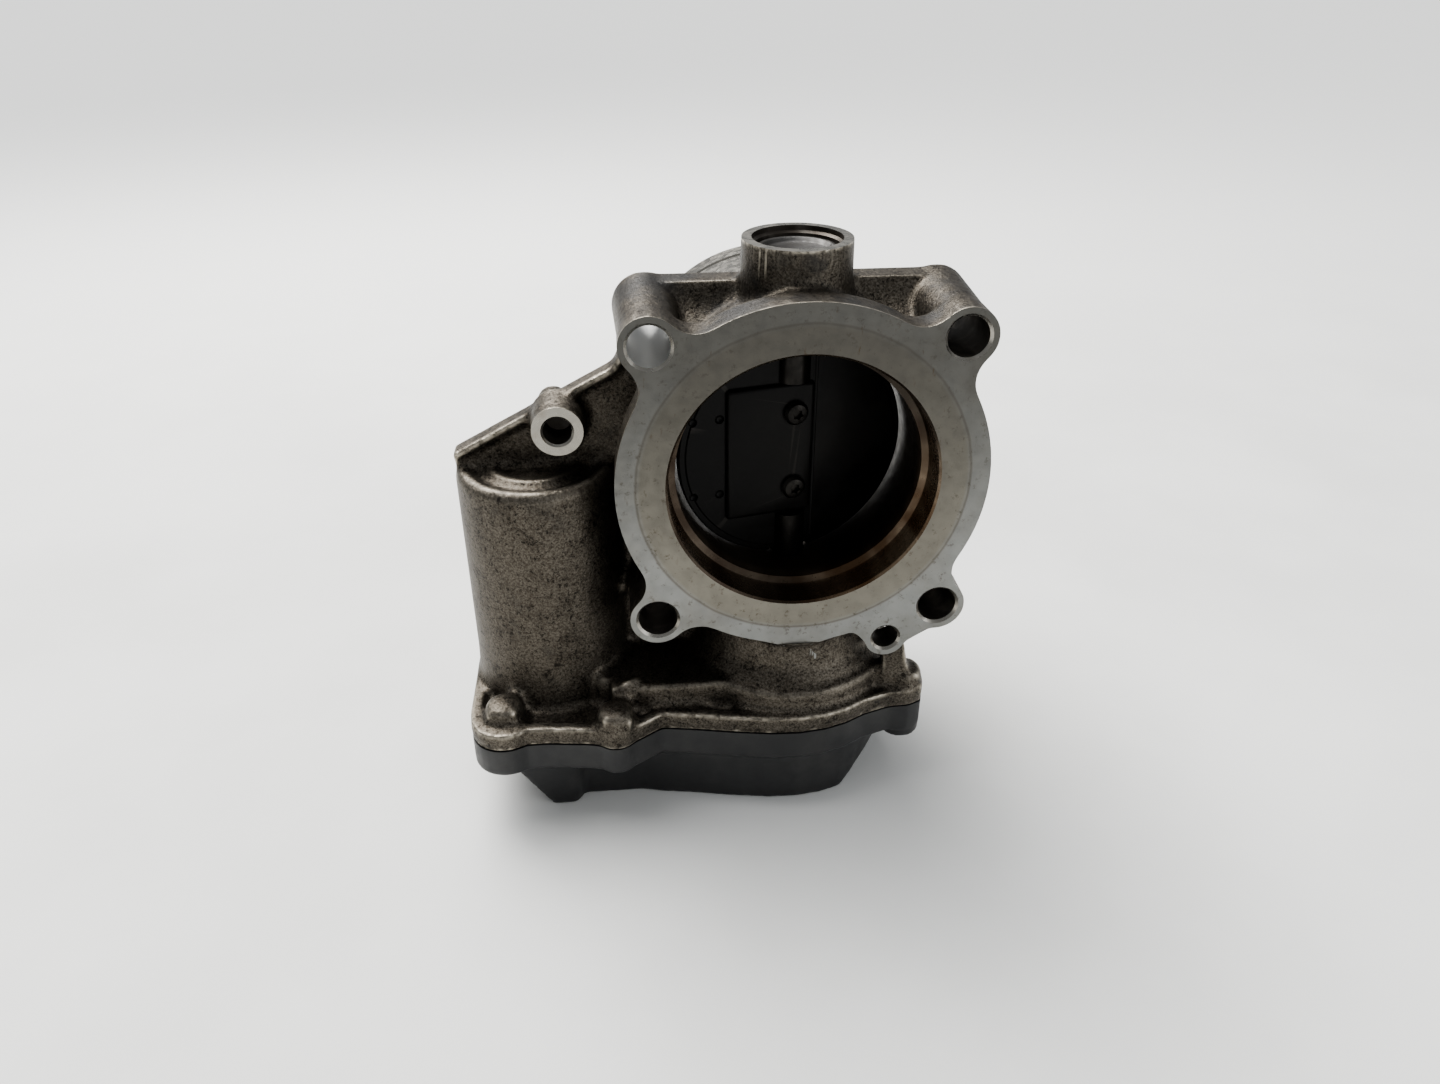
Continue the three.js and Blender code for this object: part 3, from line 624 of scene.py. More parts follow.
@dataclass(frozen=True)
class CastFinish:
    """Die-cast aluminium after years beside an engine: hollows dark, partly sooty with oil and partly
    painted shade; darker towards the top; edges lighter, partly bare wear and partly painted highlight.
    """

    name: str = "die_casting"
    bare: Colour = (0.160, 0.144, 0.120)
    dull: Colour = (0.054, 0.045, 0.035)
    wear_and_highlight: Colour = (0.40, 0.365, 0.305)
    soot_and_shade: Colour = (0.010, 0.0085, 0.0068)

    def material(self) -> bpy.types.Material:
        """Builds the material."""
        graph = Graph(self.name)
        # Hollows and corners darken: partly oily, sooty residue, partly painted shade.
        hollow = graph.ramp(graph.crevice(14.0), 0.50, 1.0, 0.0, 0.55)
        corner = graph.ramp(graph.crevice(4.0), 0.30, 0.85)
        blotch = graph.noise(13.0, 6, 0.65)
        grain = graph.noise(0.5, 4, 0.7)
        mottle = graph.ramp(grain, 0.36, 0.66)
        patch = graph.ramp(graph.noise(5.0, 6, 0.75), 0.44, 0.64)
        fleck = graph.math("ADD", graph.noise(0.9, 5, 0.8), graph.math("MULTIPLY", patch, 0.07))
        speck = graph.ramp(fleck, 0.565, 0.62)
        soot_and_shade = graph.math("ADD", hollow, graph.math("MULTIPLY", corner, 0.5))
        soot_and_shade = graph.math("ADD", soot_and_shade, graph.ramp(blotch, 0.35, 0.75, -0.25, 0.55))
        # Darker towards the top.
        upper = graph.ramp(graph.axis("Z"), 0.096, 0.126, 0.0, 0.42)
        soot_and_shade = graph.ramp(graph.math("ADD", soot_and_shade, upper), 0.10, 1.0)
        # Edges turn lighter: partly bare wear, partly painted highlight.
        edge = graph.edge(0.505, 0.545)
        scuff = graph.math("MULTIPLY", edge, graph.ramp(graph.noise(1.6, 4), 0.32, 0.58, 0.25, 1.0))
        scuff = graph.math("MULTIPLY", scuff, graph.ramp(hollow, 0.0, 1.0, 1.0, 0.35))
        tone = graph.mix(mottle, self.dull, self.bare)
        tone = graph.mix(graph.math("MULTIPLY", patch, 0.45), tone, self.dull)
        tone = graph.mix(graph.math("MULTIPLY", speck, 0.85), tone, self.soot_and_shade)
        tone = graph.mix(soot_and_shade, tone, self.soot_and_shade)
        tone = graph.mix(scuff, tone, self.wear_and_highlight)
        metal = graph.ramp(soot_and_shade, 0.0, 1.0, 0.92, 0.35)
        rough = graph.ramp(grain, 0.3, 0.7, 0.36, 0.56)
        graph.finish(tone, graph.math("SUBTRACT", rough, graph.math("MULTIPLY", scuff, 0.10)), metal)
        graph.bump([(graph.noise(3.5, 3), 0.20), (graph.noise(0.7, 4, 0.65), 0.13)])
        return graph.material


@dataclass(frozen=True)
class MachinedFinish:
    """The milled flange face: grey outside the seal's ring, browned by the intake's heat inside it, and
    darker towards the top as painted shade.
    """

    name: str = "machined_face"
    outer: Colour = (0.270, 0.273, 0.262)
    inner: Colour = (0.222, 0.209, 0.177)
    stain: Colour = (0.065, 0.047, 0.030)
    centre: Point3 = (0.0, 0.0, 86.0)
    seal_radius: float = 37.0

    def material(self) -> bpy.types.Material:
        """Builds the material."""
        graph = Graph(self.name)
        reach = graph.radius(self.centre, (1, 0, 1))
        wander = graph.math("MULTIPLY", graph.noise(6.0, 4), 0.0005)
        reach = graph.math("SUBTRACT", graph.math("ADD", reach, wander), 0.00025)
        edge = self.seal_radius * MM
        outside = graph.ramp(reach, edge - 0.0012, edge + 0.0006)
        ring = graph.math(
            "MULTIPLY", graph.ramp(reach, edge - 0.0005, edge), graph.ramp(reach, edge, edge + 0.0005, 1, 0)
        )
        spots = graph.ramp(graph.noise(1.7, 6, 0.8), 0.56, 0.66)
        cloud = graph.ramp(graph.noise(14.0, 4), 0.35, 0.7)
        tone = graph.mix(outside, self.inner, self.outer)
        tone = graph.mix(graph.math("MULTIPLY", cloud, 0.45), tone, (0.16, 0.148, 0.125))
        tone = graph.mix(graph.math("MULTIPLY", spots, 0.55), tone, self.stain)
        tone = graph.mix(graph.math("MULTIPLY", ring, 0.45), tone, self.stain)
        # Painted shade: the face darkens towards the top.
        high = graph.ramp(graph.axis("Z"), 0.048, 0.118)
        tone = graph.mix(graph.math("MULTIPLY", high, 0.80), tone, (0.062, 0.059, 0.053))
        streak = graph.ramp(graph.noise(1.8, 5, 0.7, (1, 1, 0.35)), 0.60, 0.72)
        streak = graph.math("MULTIPLY", streak, graph.ramp(high, 0.0, 1.0, 0.15, 0.6))
        tone = graph.mix(streak, tone, self.stain)
        rough = graph.ramp(graph.noise(3.0, 5), 0.3, 0.7, 0.32, 0.52)
        graph.finish(tone, rough, 0.92)
        scratch = graph.noise(0.5, 2, 0.5, (0.12, 1, 1))
        graph.bump([(graph.noise(1.2, 4), 0.02), (scratch, 0.012)])
        return graph.material


@dataclass(frozen=True)
class BoreFinish:
    """The airway's wall: bare turned metal under a brown film of oil, with painted shade deeper in, towards
    the top and on the left.
    """

    name: str = "oiled_bore"
    metal: Colour = (0.26, 0.20, 0.14)
    oil: Colour = (0.085, 0.046, 0.020)
    # Colour of the painted shade inside the bore.
    deep: Colour = (0.006, 0.005, 0.004)

    def material(self) -> bpy.types.Material:
        """Builds the material."""
        graph = Graph(self.name)
        film = graph.ramp(graph.noise(11.0, 3, 0.5, (1, 0.3, 1)), 0.36, 0.64)
        # Painted shade: darker deeper in the bore, towards its top and on its left.
        depth = graph.ramp(graph.axis("Y"), -0.016, -0.009)
        high = graph.ramp(graph.axis("Z"), 0.070, 0.105)
        left = graph.ramp(graph.axis("X"), -0.004, 0.014, 0.7, 0.0)
        tone = graph.mix(film, self.metal, self.oil)
        inner, upper = graph.math("MULTIPLY", depth, 0.88), graph.math("MULTIPLY", high, 0.85)
        dark = graph.math("MAXIMUM", graph.math("MAXIMUM", inner, upper), left)
        tone = graph.mix(dark, tone, self.deep)
        rough = graph.ramp(graph.noise(2.0, 3), 0.3, 0.7, 0.20, 0.34)
        graph.finish(tone, graph.math("ADD", rough, graph.math("MULTIPLY", depth, 0.25)), 0.60)
        graph.bump([(graph.noise(0.35, 2, 0.5, (0.1, 1, 0.1)), 0.006)])
        graph.shader.inputs["Specular IOR Level"].default_value = 0.3
        graph.shader.inputs["Coat Weight"].default_value = 0.10
        graph.shader.inputs["Coat Roughness"].default_value = 0.2
        return graph.material


@dataclass(frozen=True)
class TurnedFinish:
    """Bright lathe-turned metal with fine rings about the bore axis."""

    name: str = "turned_metal"
    base: Colour = (0.34, 0.325, 0.295)

    def material(self) -> bpy.types.Material:
        """Builds the material."""
        graph = Graph(self.name)
        bands = graph.noise(1.4, 3, 0.6, (0.02, 1, 0.02))
        tone = graph.mix(graph.ramp(bands, 0.35, 0.65), self.base, (0.29, 0.275, 0.245))
        tone = graph.mix(graph.ramp(graph.noise(6.0, 5), 0.55, 0.8, 0, 0.5), tone, (0.20, 0.17, 0.13))
        graph.finish(tone, graph.ramp(graph.noise(2.0, 3), 0.3, 0.7, 0.22, 0.36), 0.95)
        graph.bump([(graph.noise(0.7, 2, 0.5, (0.02, 1, 0.02)), 0.03)])
        return graph.material


@dataclass(frozen=True)
class DrilledFinish:
    """Drilled walls, dark with dried oil and painted shade, bare where a bolt has rubbed them, with a
    painted reflection in the upper left fixing hole.
    """

    name: str = "drilled_hole"
    bare: Colour = (0.20, 0.185, 0.165)
    # Partly dried oil, partly painted shade.
    dark: Colour = (0.070, 0.060, 0.050)
    # Colour of the painted reflection.
    painted_reflection: Colour = (0.52, 0.52, 0.51)

    def material(self) -> bpy.types.Material:
        """Builds the material."""
        graph = Graph(self.name)
        rubbed = graph.ramp(graph.noise(5.0, 3, 0.5), 0.46, 0.70, 0.0, 0.7)
        # Painted reflection on the wall of the upper left fixing hole.
        left = graph.ramp(graph.axis("X"), -0.030, -0.024, 1.0, 0.0)
        painted_reflection = graph.math("MULTIPLY", left, graph.ramp(graph.axis("Z"), 0.106, 0.110))
        tone = graph.mix(rubbed, self.dark, self.bare)
        graph.finish(graph.mix(painted_reflection, tone, self.painted_reflection), 0.42, 0.75)
        graph.bump([(graph.noise(0.8, 3, 0.5, (1, 0.3, 1)), 0.01)])
        return graph.material


@dataclass(frozen=True)
class CoverFinish:
    """Black satin moulded plastic with a fine spark-eroded grain, dust and light scuffs."""

    name: str = "cover_plastic"
    base: Colour = (0.0135, 0.0135, 0.014)
    dust: Colour = (0.10, 0.095, 0.085)

    def material(self) -> bpy.types.Material:
        """Builds the material."""
        graph = Graph(self.name)
        scuff = graph.ramp(graph.noise(0.9, 5, 0.7, (0.25, 0.25, 1)), 0.66, 0.74)
        film = graph.ramp(graph.noise(12.0, 5), 0.42, 0.75, 0.0, 0.16)
        edge = graph.edge(0.52, 0.60)
        tone = graph.mix(film, self.base, self.dust)
        tone = graph.mix(graph.math("MULTIPLY", scuff, 0.35), tone, self.dust)
        tone = graph.mix(graph.math("MULTIPLY", edge, 0.20), tone, self.dust)
        graph.finish(tone, graph.ramp(graph.noise(4.0, 4), 0.3, 0.7, 0.36, 0.50), 0.0)
        graph.bump([(graph.noise(0.28, 2), 0.020), (graph.noise(8.0, 3), 0.10)])
        return graph.material


@dataclass(frozen=True)
class PlateFinish:
    """The butterfly plate: dark metal under a wet, sooty film of oil, with painted shade making it
    near-black.
    """

    name: str = "oily_plate_with_painted_shade"
    # Near-black: partly the oily film, partly painted shade.
    base: Colour = (0.0062, 0.0058, 0.0055)
    film: Colour = (0.0030, 0.0027, 0.0024)

    def material(self) -> bpy.types.Material:
        """Builds the material."""
        graph = Graph(self.name)
        wet = graph.ramp(graph.noise(9.0, 5, 0.6), 0.40, 0.62)
        edge = graph.edge(0.53, 0.62)
        tone = graph.mix(wet, self.base, self.film)
        tone = graph.mix(graph.math("MULTIPLY", edge, 0.15), tone, (0.10, 0.09, 0.08))
        graph.finish(tone, graph.ramp(wet, 0.0, 1.0, 0.52, 0.36), 0.35)
        graph.bump([(graph.noise(2.0, 4), 0.03), (graph.noise(0.3, 3), 0.01)])
        graph.shader.inputs["Specular IOR Level"].default_value = 0.15
        graph.shader.inputs["Coat Weight"].default_value = 0.05
        graph.shader.inputs["Coat Roughness"].default_value = 0.2
        return graph.material


# ------------------------------------------------------------------ places shared by the sub-assemblies
@dataclass(frozen=True)
class Layout:
    """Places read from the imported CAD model, in millimetres."""

    motor: Point2
    idler: Point2
    screws: list[Point2]
    rest_turn: float = 12.5
    bore_z: float = 86.0

    @staticmethod
    def read() -> Layout:
        """Reads the places from the CAD nodes' boxes."""

        def middle(node: str) -> Point2:
            """Centre of a node, seen from above."""
            low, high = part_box(node)
            return (low.x + high.x) / (2 * MM), (low.y + high.y) / (2 * MM)

        screws = [middle(f"cover_screw_{i}") for i in range(1, 7)]
        return Layout(middle("motor_can"), middle("intermediate_pin"), screws)


@dataclass
class CaseOutline:
    """The gear case seen from above, as the shapes that overlap to make it."""

    layout: Layout
    corner_low: Point2 = (-79.0, -28.5)
    corner_high: Point2 = (-50.0, 27.0)
    corner_radius: float = 9.0
    radius: float = 29.5
    ear_radius: float = 5.0
    front: tuple[Point2, ...] = (
        (-62, -24),
        (-38, -24),
        (-33, -25.2),
        (-25.4, -26.4),
        (-15.9, -28.3),
        (-7, -29.7),
        (0, -30),
        (6.6, -29.1),
        (11.8, -27.3),
        (15.5, -25),
    )
    ear_filler: tuple[Point2, ...] = (
        (-62, -28.3),
        (-50.7, -29.6),
        (-44, -31),
        (-40.5, -30.2),
        (-37.6, -28.4),
        (-33, -25.2),
    )
    corner: tuple[Point2, ...] = (
        (11.8, -27.3),
        (16.8, -24.5),
        (23.6, -22.2),
        (28.7, -22),
        (32, -20.5),
        (33, -17.5),
        (33, -14),
    )

    def shapes(self, inset: float, ears: bool = True) -> list[list[Point2]]:
        """The overlapping outlines.

        Args:
            inset: How far to draw the case in from its edge.
            ears: Whether to include the screw ears and their fillers.

        Returns:
            One list of points for each outline.
        """
        (x0, y0), (x1, y1), r = self.corner_low, self.corner_high, self.corner_radius
        low, high = (x0 + inset, y0 + inset), (x1 - inset, y1 - inset)
        bridge = [(x, y + inset) for x, y in self.front] + [(0, 22 - inset), (-62, 22 - inset)]
        made = [rounded_rectangle(low, high, r - inset), bridge]
        made += [arc(c, self.radius - inset, 0, 356, 89) for c in ((0.0, 0.0), self.layout.idler)]
        if ears:
            made += [arc(at, self.ear_radius - inset, 0, 345, 23) for at in self.layout.screws[1:]]
            made.append(arc(self.layout.screws[0], 8.1 - inset, 0, 345, 23))
            made.append([(x, y + inset) for x, y in self.ear_filler] + [(-33, -20), (-62, -20)])
            made.append([(x - inset / 2, y + inset / 2) for x, y in self.corner] + [(26, -8), (10, -10)])
        return made

    def slabs(self, low: float, high: float, inset: float, ears: bool = True) -> list[Solid]:
        """The outlines as slabs between two heights."""
        return [Solid.prism(shape, Axis.Z, low, high) for shape in self.shapes(inset, ears)]


def carved(name: str, add: Sequence[Solid], cut: Sequence[Solid] = ()) -> bpy.types.Object:
    """A crisp piece made of solids joined one after another, less others.

    Args:
        name: Name of the piece.
        add: Solids to join.
        cut: Solids to take away.

    Returns:
        The piece.
    """
    piece = add[0].finished(name)
    machine(piece, add[1:], Cut.JOIN)
    machine(piece, cut, Cut.AWAY)
    return piece


def melted(piece: bpy.types.Object) -> Solid:
    """Turns a piece back into a solid in millimetres, and removes the piece."""
    solid = Solid()
    solid.mesh.from_mesh(piece.data)
    bmesh.ops.scale(solid.mesh, vec=(1 / MM, 1 / MM, 1 / MM), verts=solid.mesh.verts)
    data = piece.data
    bpy.data.objects.remove(piece)
    bpy.data.meshes.remove(data)
    return solid


def dress(piece: bpy.types.Object, body: str, slot: str, *nodes: str) -> bpy.types.Object:
    """Says which body a piece rides on and which CAD nodes it stands for; its slot argument is not used."""
    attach(piece, body)
    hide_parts(*nodes)
    log.info("%s: %d faces, for %s", piece.name, len(piece.data.polygons), ", ".join(nodes))
    return piece


def paint(piece: bpy.types.Object, materials: Sequence[bpy.types.Material]) -> None:
    """Gives a piece its materials, in slot order."""
    piece.data.materials.clear()
    for material in materials:
        piece.data.materials.append(material)


# ------------------------------------------------------------------ housing
@dataclass
class Housing:
    """The die-cast housing: cast in one skin, then faced, bored, drilled and turned."""

    layout: Layout
    case: CaseOutline
    mould: Mould
    flange_radius: float = 41.5
    flange_front: float = -21.5
    flange_back: float = -13.5
    ear: float = 33.0
    ear_radius: float = 6.5
    ear_hole: float = 4.5
    plate_front: float = 1.5
    plate_back: float = 8.5
    barrel_radius: float = 33.0
    bore_radius: float = 28.0
    mouth_radius: float = 30.0
    mouth_depth: float = 8.0
    spigot_radius: float = 34.0
    spigot_end: float = 53.0
    top: float = 135.0
    face_low: Point2 = (44.2, 38.4)
    small_ear: Point3 = (21.2, 44.4, 5.0)
    small_ear_hole: float = 3.05
    bracket: Point3 = (-53.4, 96.2, 5.8)
    bracket_face: float = -10.0
    bracket_hole: float = 3.2
    seam: float = 23.8
    rim_top: float = 28.0
    shelf_top: float = 33.5
    shelf_radius: float = 27.5
    shelf_low: Point2 = (-45, -21.4)
    shelf_high: Point2 = (0, 18)
    saddle_half: float = 28.0
    saddle_low: float = 112.0
    lug: Point2 = (-54.7, 97.4)
    motor_radius: float = 18.5
    motor_top: float = 85.0

    def ears(self) -> list[Point2]:
        """Centres of the four fixing holes, across the bore."""
        e, z = self.ear, self.layout.bore_z
        return [(e, z + e), (-e, z + e), (-e, z - e), (e, z - e)]

    def flange_shells(self) -> list[Solid]:
        """Flange, its ears and webs, the ridges behind them and the square plate."""
        z, e = self.layout.bore_z, self.ear
        corners = [(e, e), (-e, e), (-e, -e), (e, -e)]
        outline = eared_disc(self.flange_radius, [(x, y, self.ear_radius) for x, y in corners], 7)
        stock = self.flange_front - 1.2
        x, low, r = self.small_ear
        web = [(x - 1, low - r), (e - 1, z - e - 6.3), (e, z - e), (e - 6, z - e + 6), (12, 50), (14, 46)]
        reach = e + self.ear_radius
        square = rounded_rectangle((-reach, z - reach), (reach, z + reach), self.ear_radius)
        shells = [
            Solid.prism([(a, b + z) for a, b in outline], Axis.Y, stock, self.flange_back),
            Solid.rod(r, Axis.Y, stock, self.flange_back, (x, low)),
            Solid.prism(web, Axis.Y, stock, self.flange_back),
            Solid.prism(square, Axis.Y, self.plate_front, self.plate_back),
        ]
        front, back = self.flange_back - 1, self.plate_back - 1
        ridge = [(0, front), (6.4, front), (7.4, back), (0, back)]
        shells += [Solid.turned(ridge, Axis.Y, (x, 0, z), 40) for x, z in self.ears()]
        return shells

    def barrel_shells(self) -> list[Solid]:
        """The barrel round the bore, with the shaft's boss above it and its neck below."""
        b = self.barrel_radius
        barrel = [
            (20, -14.5),
            (40.5, -14.5),
            (38.6, -12.8),
            (36.0, -10.6),
            (34.2, -7.6),
            (b + 0.3, -4.0),
            (b, -1.0),
            (b + 1.0, 1.0),
            (b + 4.0, 3.0),
            (b + 4.0, 8.0),
            (b + 1.8, 9.6),
            (b + 1.0, 13.0),
            (20, 13.0),
        ]
        boss = [(0, 100), (15, 102), (14.6, 119), (13.0, 121.5), (12.3, 124)]
        boss += [(12.1, self.top + 1), (0, self.top + 1)]
        neck = [(0, 31), (24.8, 32), (24.6, 34.4), (24.0, 35.4), (23.0, 36.2), (22.2, 38.2), (21.5, 43.6)]
        neck += [(21.2, 46), (21.2, 55), (22, 62), (0, 62)]
        centre = (0, 0, self.layout.bore_z)
        return [
            melted(self.saddle()),
            Solid.turned(barrel, Axis.Y, centre, 120),
            Solid.turned(boss, Axis.Z, steps=64),
            Solid.turned(neck, Axis.Z, steps=80),
        ]

    def saddle(self) -> bpy.types.Object:
        """The hollow on each side of the top boss: a shoulder on the barrel and a slope up to the plate."""
        half, low = self.saddle_half, self.saddle_low
        ring = [(20, -14.5), (41.3, -14.5), (40.4, -12.5), (38.8, -9.5), (38.0, -6), (38.0, -2), (38.8, 0)]
        ring += [(39.4, 2.5), (20, 2.5)]
        slope = [(-14, low), (-14, 114), (-9, 116), (-5, 117.8), (-2, 119.8), (0, 122), (1, 124.4)]
        slope += [(2.5, 125.2), (2.5, low)]
        outside = [
            Solid.box((-60, -30, 0), (60, 20, low)),
            Solid.box((-60, -30, low - 5), (-half, 20, self.top + 5)),
            Solid.box((half, -30, low - 5), (60, 20, self.top + 5)),
        ]
        collar = Solid.turned(ring, Axis.Y, (0, 0, self.layout.bore_z), 120)
        shoulder = melted(carved("shoulder", [collar], outside))
        return carved("saddle", [shoulder, Solid.prism(slope, Axis.X, -half, half)])

    def case_shells(self) -> list[Solid]:
        """The rim with its raised lip, the shelf above it and the blind screw bosses."""
        lip = carved(
            "lip",
            self.case.slabs(self.rim_top - 3.0, self.rim_top + 0.3, 0),
            self.case.slabs(self.rim_top - 4.0, self.rim_top + 1.0, 2.9),
        )
        shells = self.case.slabs(self.seam - 1.2, self.rim_top - 1.7, 0.3) + [melted(lip)]
        top, low = self.shelf_top, self.seam
        for radius, (x, y) in ((self.shelf_radius, (0.0, 0.0)), (self.shelf_radius - 1, self.layout.idler)):
            profile = [(0, low), (radius, low), (radius - 0.3, top - 1.4)]
            profile += [(radius - 1.0, top - 0.2), (radius - 2.2, top), (0, top)]
            shells.append(Solid.turned(profile, Axis.Z, (x, y, 0), 90))
        (x0, y0), (x1, y1) = self.shelf_low, self.shelf_high
        shells.append(Solid.box((x0, y0, low), (x1, y1, top), 0.8))
        for index, (x, y) in enumerate(self.layout.screws):
            cap = [(0, low), (5.0, low), (4.8, 27.8), (4.4, 30.8), (3.7, 32.0), (2.0, 32.6), (0, 32.7)]
            shells.append(Solid.turned(cap, Axis.Z, (x, y, 0), 28))
            slope = Solid.box((x - 3.6, y - 3.9, 24), (x + 3.6, y + 3.4, 31.8), 0.8)
            shells.append(slope.turned_by(9.0 if index % 2 else -7.0, Axis.Y, (x, y, 28)))
        nub = Solid.box((-42.5, -20.6, low), (-37.5, -18.6, top + 1.2), 0.6)
        shells.append(nub.turned_by(24, Axis.Z, (-40, -19.6, 0)))
        gusset = [(22, 26), (31, 26), (29, 30), (26.5, 42), (21, 46)]
        shells.append(Solid.prism(gusset, Axis.Y, -19.5, -16.0))
        return shells

    def motor_shells(self) -> list[Solid]:
        """The motor's housing beside the bore, the web that joins them and the bracket's boss."""
        r, top = self.motor_radius, self.motor_top
        x, y = self.layout.motor
        can = [(0, 25), (19.6, 25), (19.0, 28.0), (r + 0.2, 31), (r, 36)]
        can += [(r, top - 1.8), (r - 0.8, top - 0.5), (r - 2.0, top), (r - 2.8, top - 0.2)]
        can += [(13.9, top - 1.5), (12.6, top - 1.5), (11.4, top - 0.4), (10.4, top + 0.1)]
        can += [(9.2, top - 0.5), (8.2, top - 0.9), (0, top - 0.7)]
        web = [(-77.4, 80), (-77.8, 88.2), (-40.8, 107.8), (-33, 119), (-20, 110)]
        web += [(-10, 50), (-10, 30), (-50, 30)]
        lip = [(-77.9, 86.6), (-77.9, 88.4), (-40.9, 108.0), (-33.6, 119), (-32.6, 118), (-40.0, 106.5)]
        bx, bz, br = self.bracket
        ring = [(0, -11.2), (br, -11.2), (br, -7.6), (br + 0.3, -7.0)]
        ring += [(br + 0.4, -2.0), (br + 0.8, 0), (0, 0)]
        lug = [(0, -1.0), (3.8, -1.0), (3.7, 5.5), (3.1, 6.2), (0, 6.2)]
        shells = [
            Solid.turned(can, Axis.Z, (x, y, 0), 90),
            Solid.prism(web, Axis.Y, -1.8, 2.6),
            Solid.prism(lip, Axis.Y, -3.0, 2.6),
            Solid.turned(ring, Axis.Y, (bx, 0, bz), 40),
            Solid.turned(lug, Axis.Y, (self.lug[0], 0, self.lug[1]), 36),
        ]
        boss = [(0, 26), (4.6, 26), (4.0, 31.5), (3.2, 33.3), (0, 33.6)]
        shells += [Solid.turned(boss, Axis.Z, (*at, 0), 28) for at in self.motor_screws()]
        return shells

    def motor_screws(self) -> list[Point2]:
        """Centres of the two screws that hold the motor's end plate, from above."""
        return [polar(self.layout.motor, 20, angle) for angle in (115, -45)]

    def face_and_bore(self) -> list[Solid]:
        """Cutters for the flat faces, the airway and the fixing holes."""
        z, front, stock = self.layout.bore_z, self.flange_front, 20.0
        bore, mouth, end = self.bore_radius, self.mouth_radius, self.spigot_end
        airway = [
            (0, front - 2),
            (mouth + 0.5, front - 2),
            (mouth + 0.5, front),
            (mouth, front + 0.5),
            (mouth, front + self.mouth_depth - 1.4),
            (mouth - 0.5, front + self.mouth_depth - 0.6),
            (bore, front + self.mouth_depth),
            (bore, end - 12),
            (bore + 2, end + 1),
            (0, end + 1),
        ]
        cutters = [
            Solid.box((-60, front - stock, self.face_low[0]), (60, front, self.top + 5)),
            Solid.box((11, front - stock, self.face_low[1]), (60, front, 50)),
            Solid.box((-20, -20, self.top), (20, 20, self.top + 10)),
            Solid.box((-100, -50, self.seam - 10), (60, 60, self.seam)),
            Solid.turned(airway, Axis.Y, (0, 0, z), 144),
        ]
        for at in self.ears():
            cutters.append(self.drill(self.ear_hole, front, self.plate_back, at))
        x, low, _ = self.small_ear
        cutters.append(self.drill(self.small_ear_hole, front, self.flange_back, (x, low)))
        bx, bz, br = self.bracket
        face, hole = self.bracket_face, self.bracket_hole
        ring = [(0, face - 4), (br + 0.4, face - 4), (br + 0.4, face), (0, face)]
        cutters.append(Solid.turned(ring, Axis.Y, (bx, 0, bz)))
        blind = [(0, face - 2), (hole + 0.5, face - 2), (hole + 0.5, face)]
        blind += [(hole, face + 0.5), (hole, -1.6), (0, -0.2)]
        cutters.append(Solid.turned(blind, Axis.Y, (bx, 0, bz), 48))
        return cutters

    @staticmethod
    def drill(radius: float, front: float, back: float, at: Point2) -> Solid:
        """A through drill along Y with a small chamfer at its front face."""
        profile = [
            (0, front - 2),
            (radius + 0.6, front - 2),
            (radius + 0.6, front),
            (radius, front + 0.6),
            (radius, back + 2),
            (0, back + 2),
        ]
        return Solid.turned(profile, Axis.Y, (at[0], 0, at[1]), 48)

    def inner_spaces(self) -> list[Solid]:
        """Cutters for the shaft's line, the motor's pocket, the gear space and the blind screw holes."""
        x, y = self.layout.motor
        line = [
            (0, 16),
            (18, 16),
            (18, 46),
            (8, 46),
            (8, 53),
            (6.4, 53),
            (6.4, 56.3),
            (4.3, 56.3),
            (4.3, 117),
            (7.3, 117),
            (7.3, 129),
            (9.3, 129),
            (9.3, 133.4),
            (9.9, 133.9),
            (9.9, self.top + 1),
            (0, self.top + 1),
        ]
        cutters = [
            Solid.turned(line, Axis.Z, steps=72),
            Solid.rod(16.4, Axis.Z, self.seam - 1, 82, (x, y), 72),
            melted(self.gear_space()),
            Solid.rod(2.8, Axis.Z, 20, 31.5, self.layout.idler, 32),
            Solid.rod(2.3, Axis.Y, 14, 40, (8, 41), 32),
        ]
        cutters += [Solid.rod(1.9, Axis.Z, 20, 30.3, at, 20) for at in self.layout.screws]
        cutters += [Solid.rod(1.9, Axis.Z, 20, 31.5, at, 20) for at in self.motor_screws()]
        return cutters

    def gear_space(self) -> bpy.types.Object:
        """The room for the gears, less the columns that the screws and the idler's pin stand in."""
        roof, low = self.shelf_top - 3.0, self.seam - 1.0
        add = self.case.slabs(low, 25.0, 3.0, ears=False)
        add += [
            Solid.rod(25.0, Axis.Z, low, roof, (0, 0), 64),
            Solid.box((-39, -18.7, low), (0, 15, roof)),
            Solid.rod(23.5, Axis.Z, low, roof, self.layout.idler, 64),
        ]
        cut = [Solid.rod(4.2, Axis.Z, 10, 40, at, 24) for at in self.layout.screws]
        cut.append(Solid.rod(5.0, Axis.Z, 21.5, 40, self.layout.idler, 32))
        cut.append(Solid.box((-54, -12, 25.0), (-39, 30, 40)))
        return carved("gear_space", add, cut)

    def spigot(self) -> Solid:
        """The turned sleeve for the intake hose, with a bead groove near its end."""
        r, end, bore = self.spigot_radius, self.spigot_end, self.bore_radius
        profile = [
            (bore + 0.6, 6),
            (r, 6),
            (r, end - 9.0),
            (r - 0.6, end - 8.6),
            (r - 0.6, end - 7.6),
            (r, end - 7.2),
            (r, end - 1.0),
            (r - 0.8, end),
            (bore + 2.6, end),
            (bore + 2.2, end - 0.4),
            (bore + 0.6, end - 12),
        ]
        return Solid.turned(profile, Axis.Y, (0, 0, self.layout.bore_z), 144)

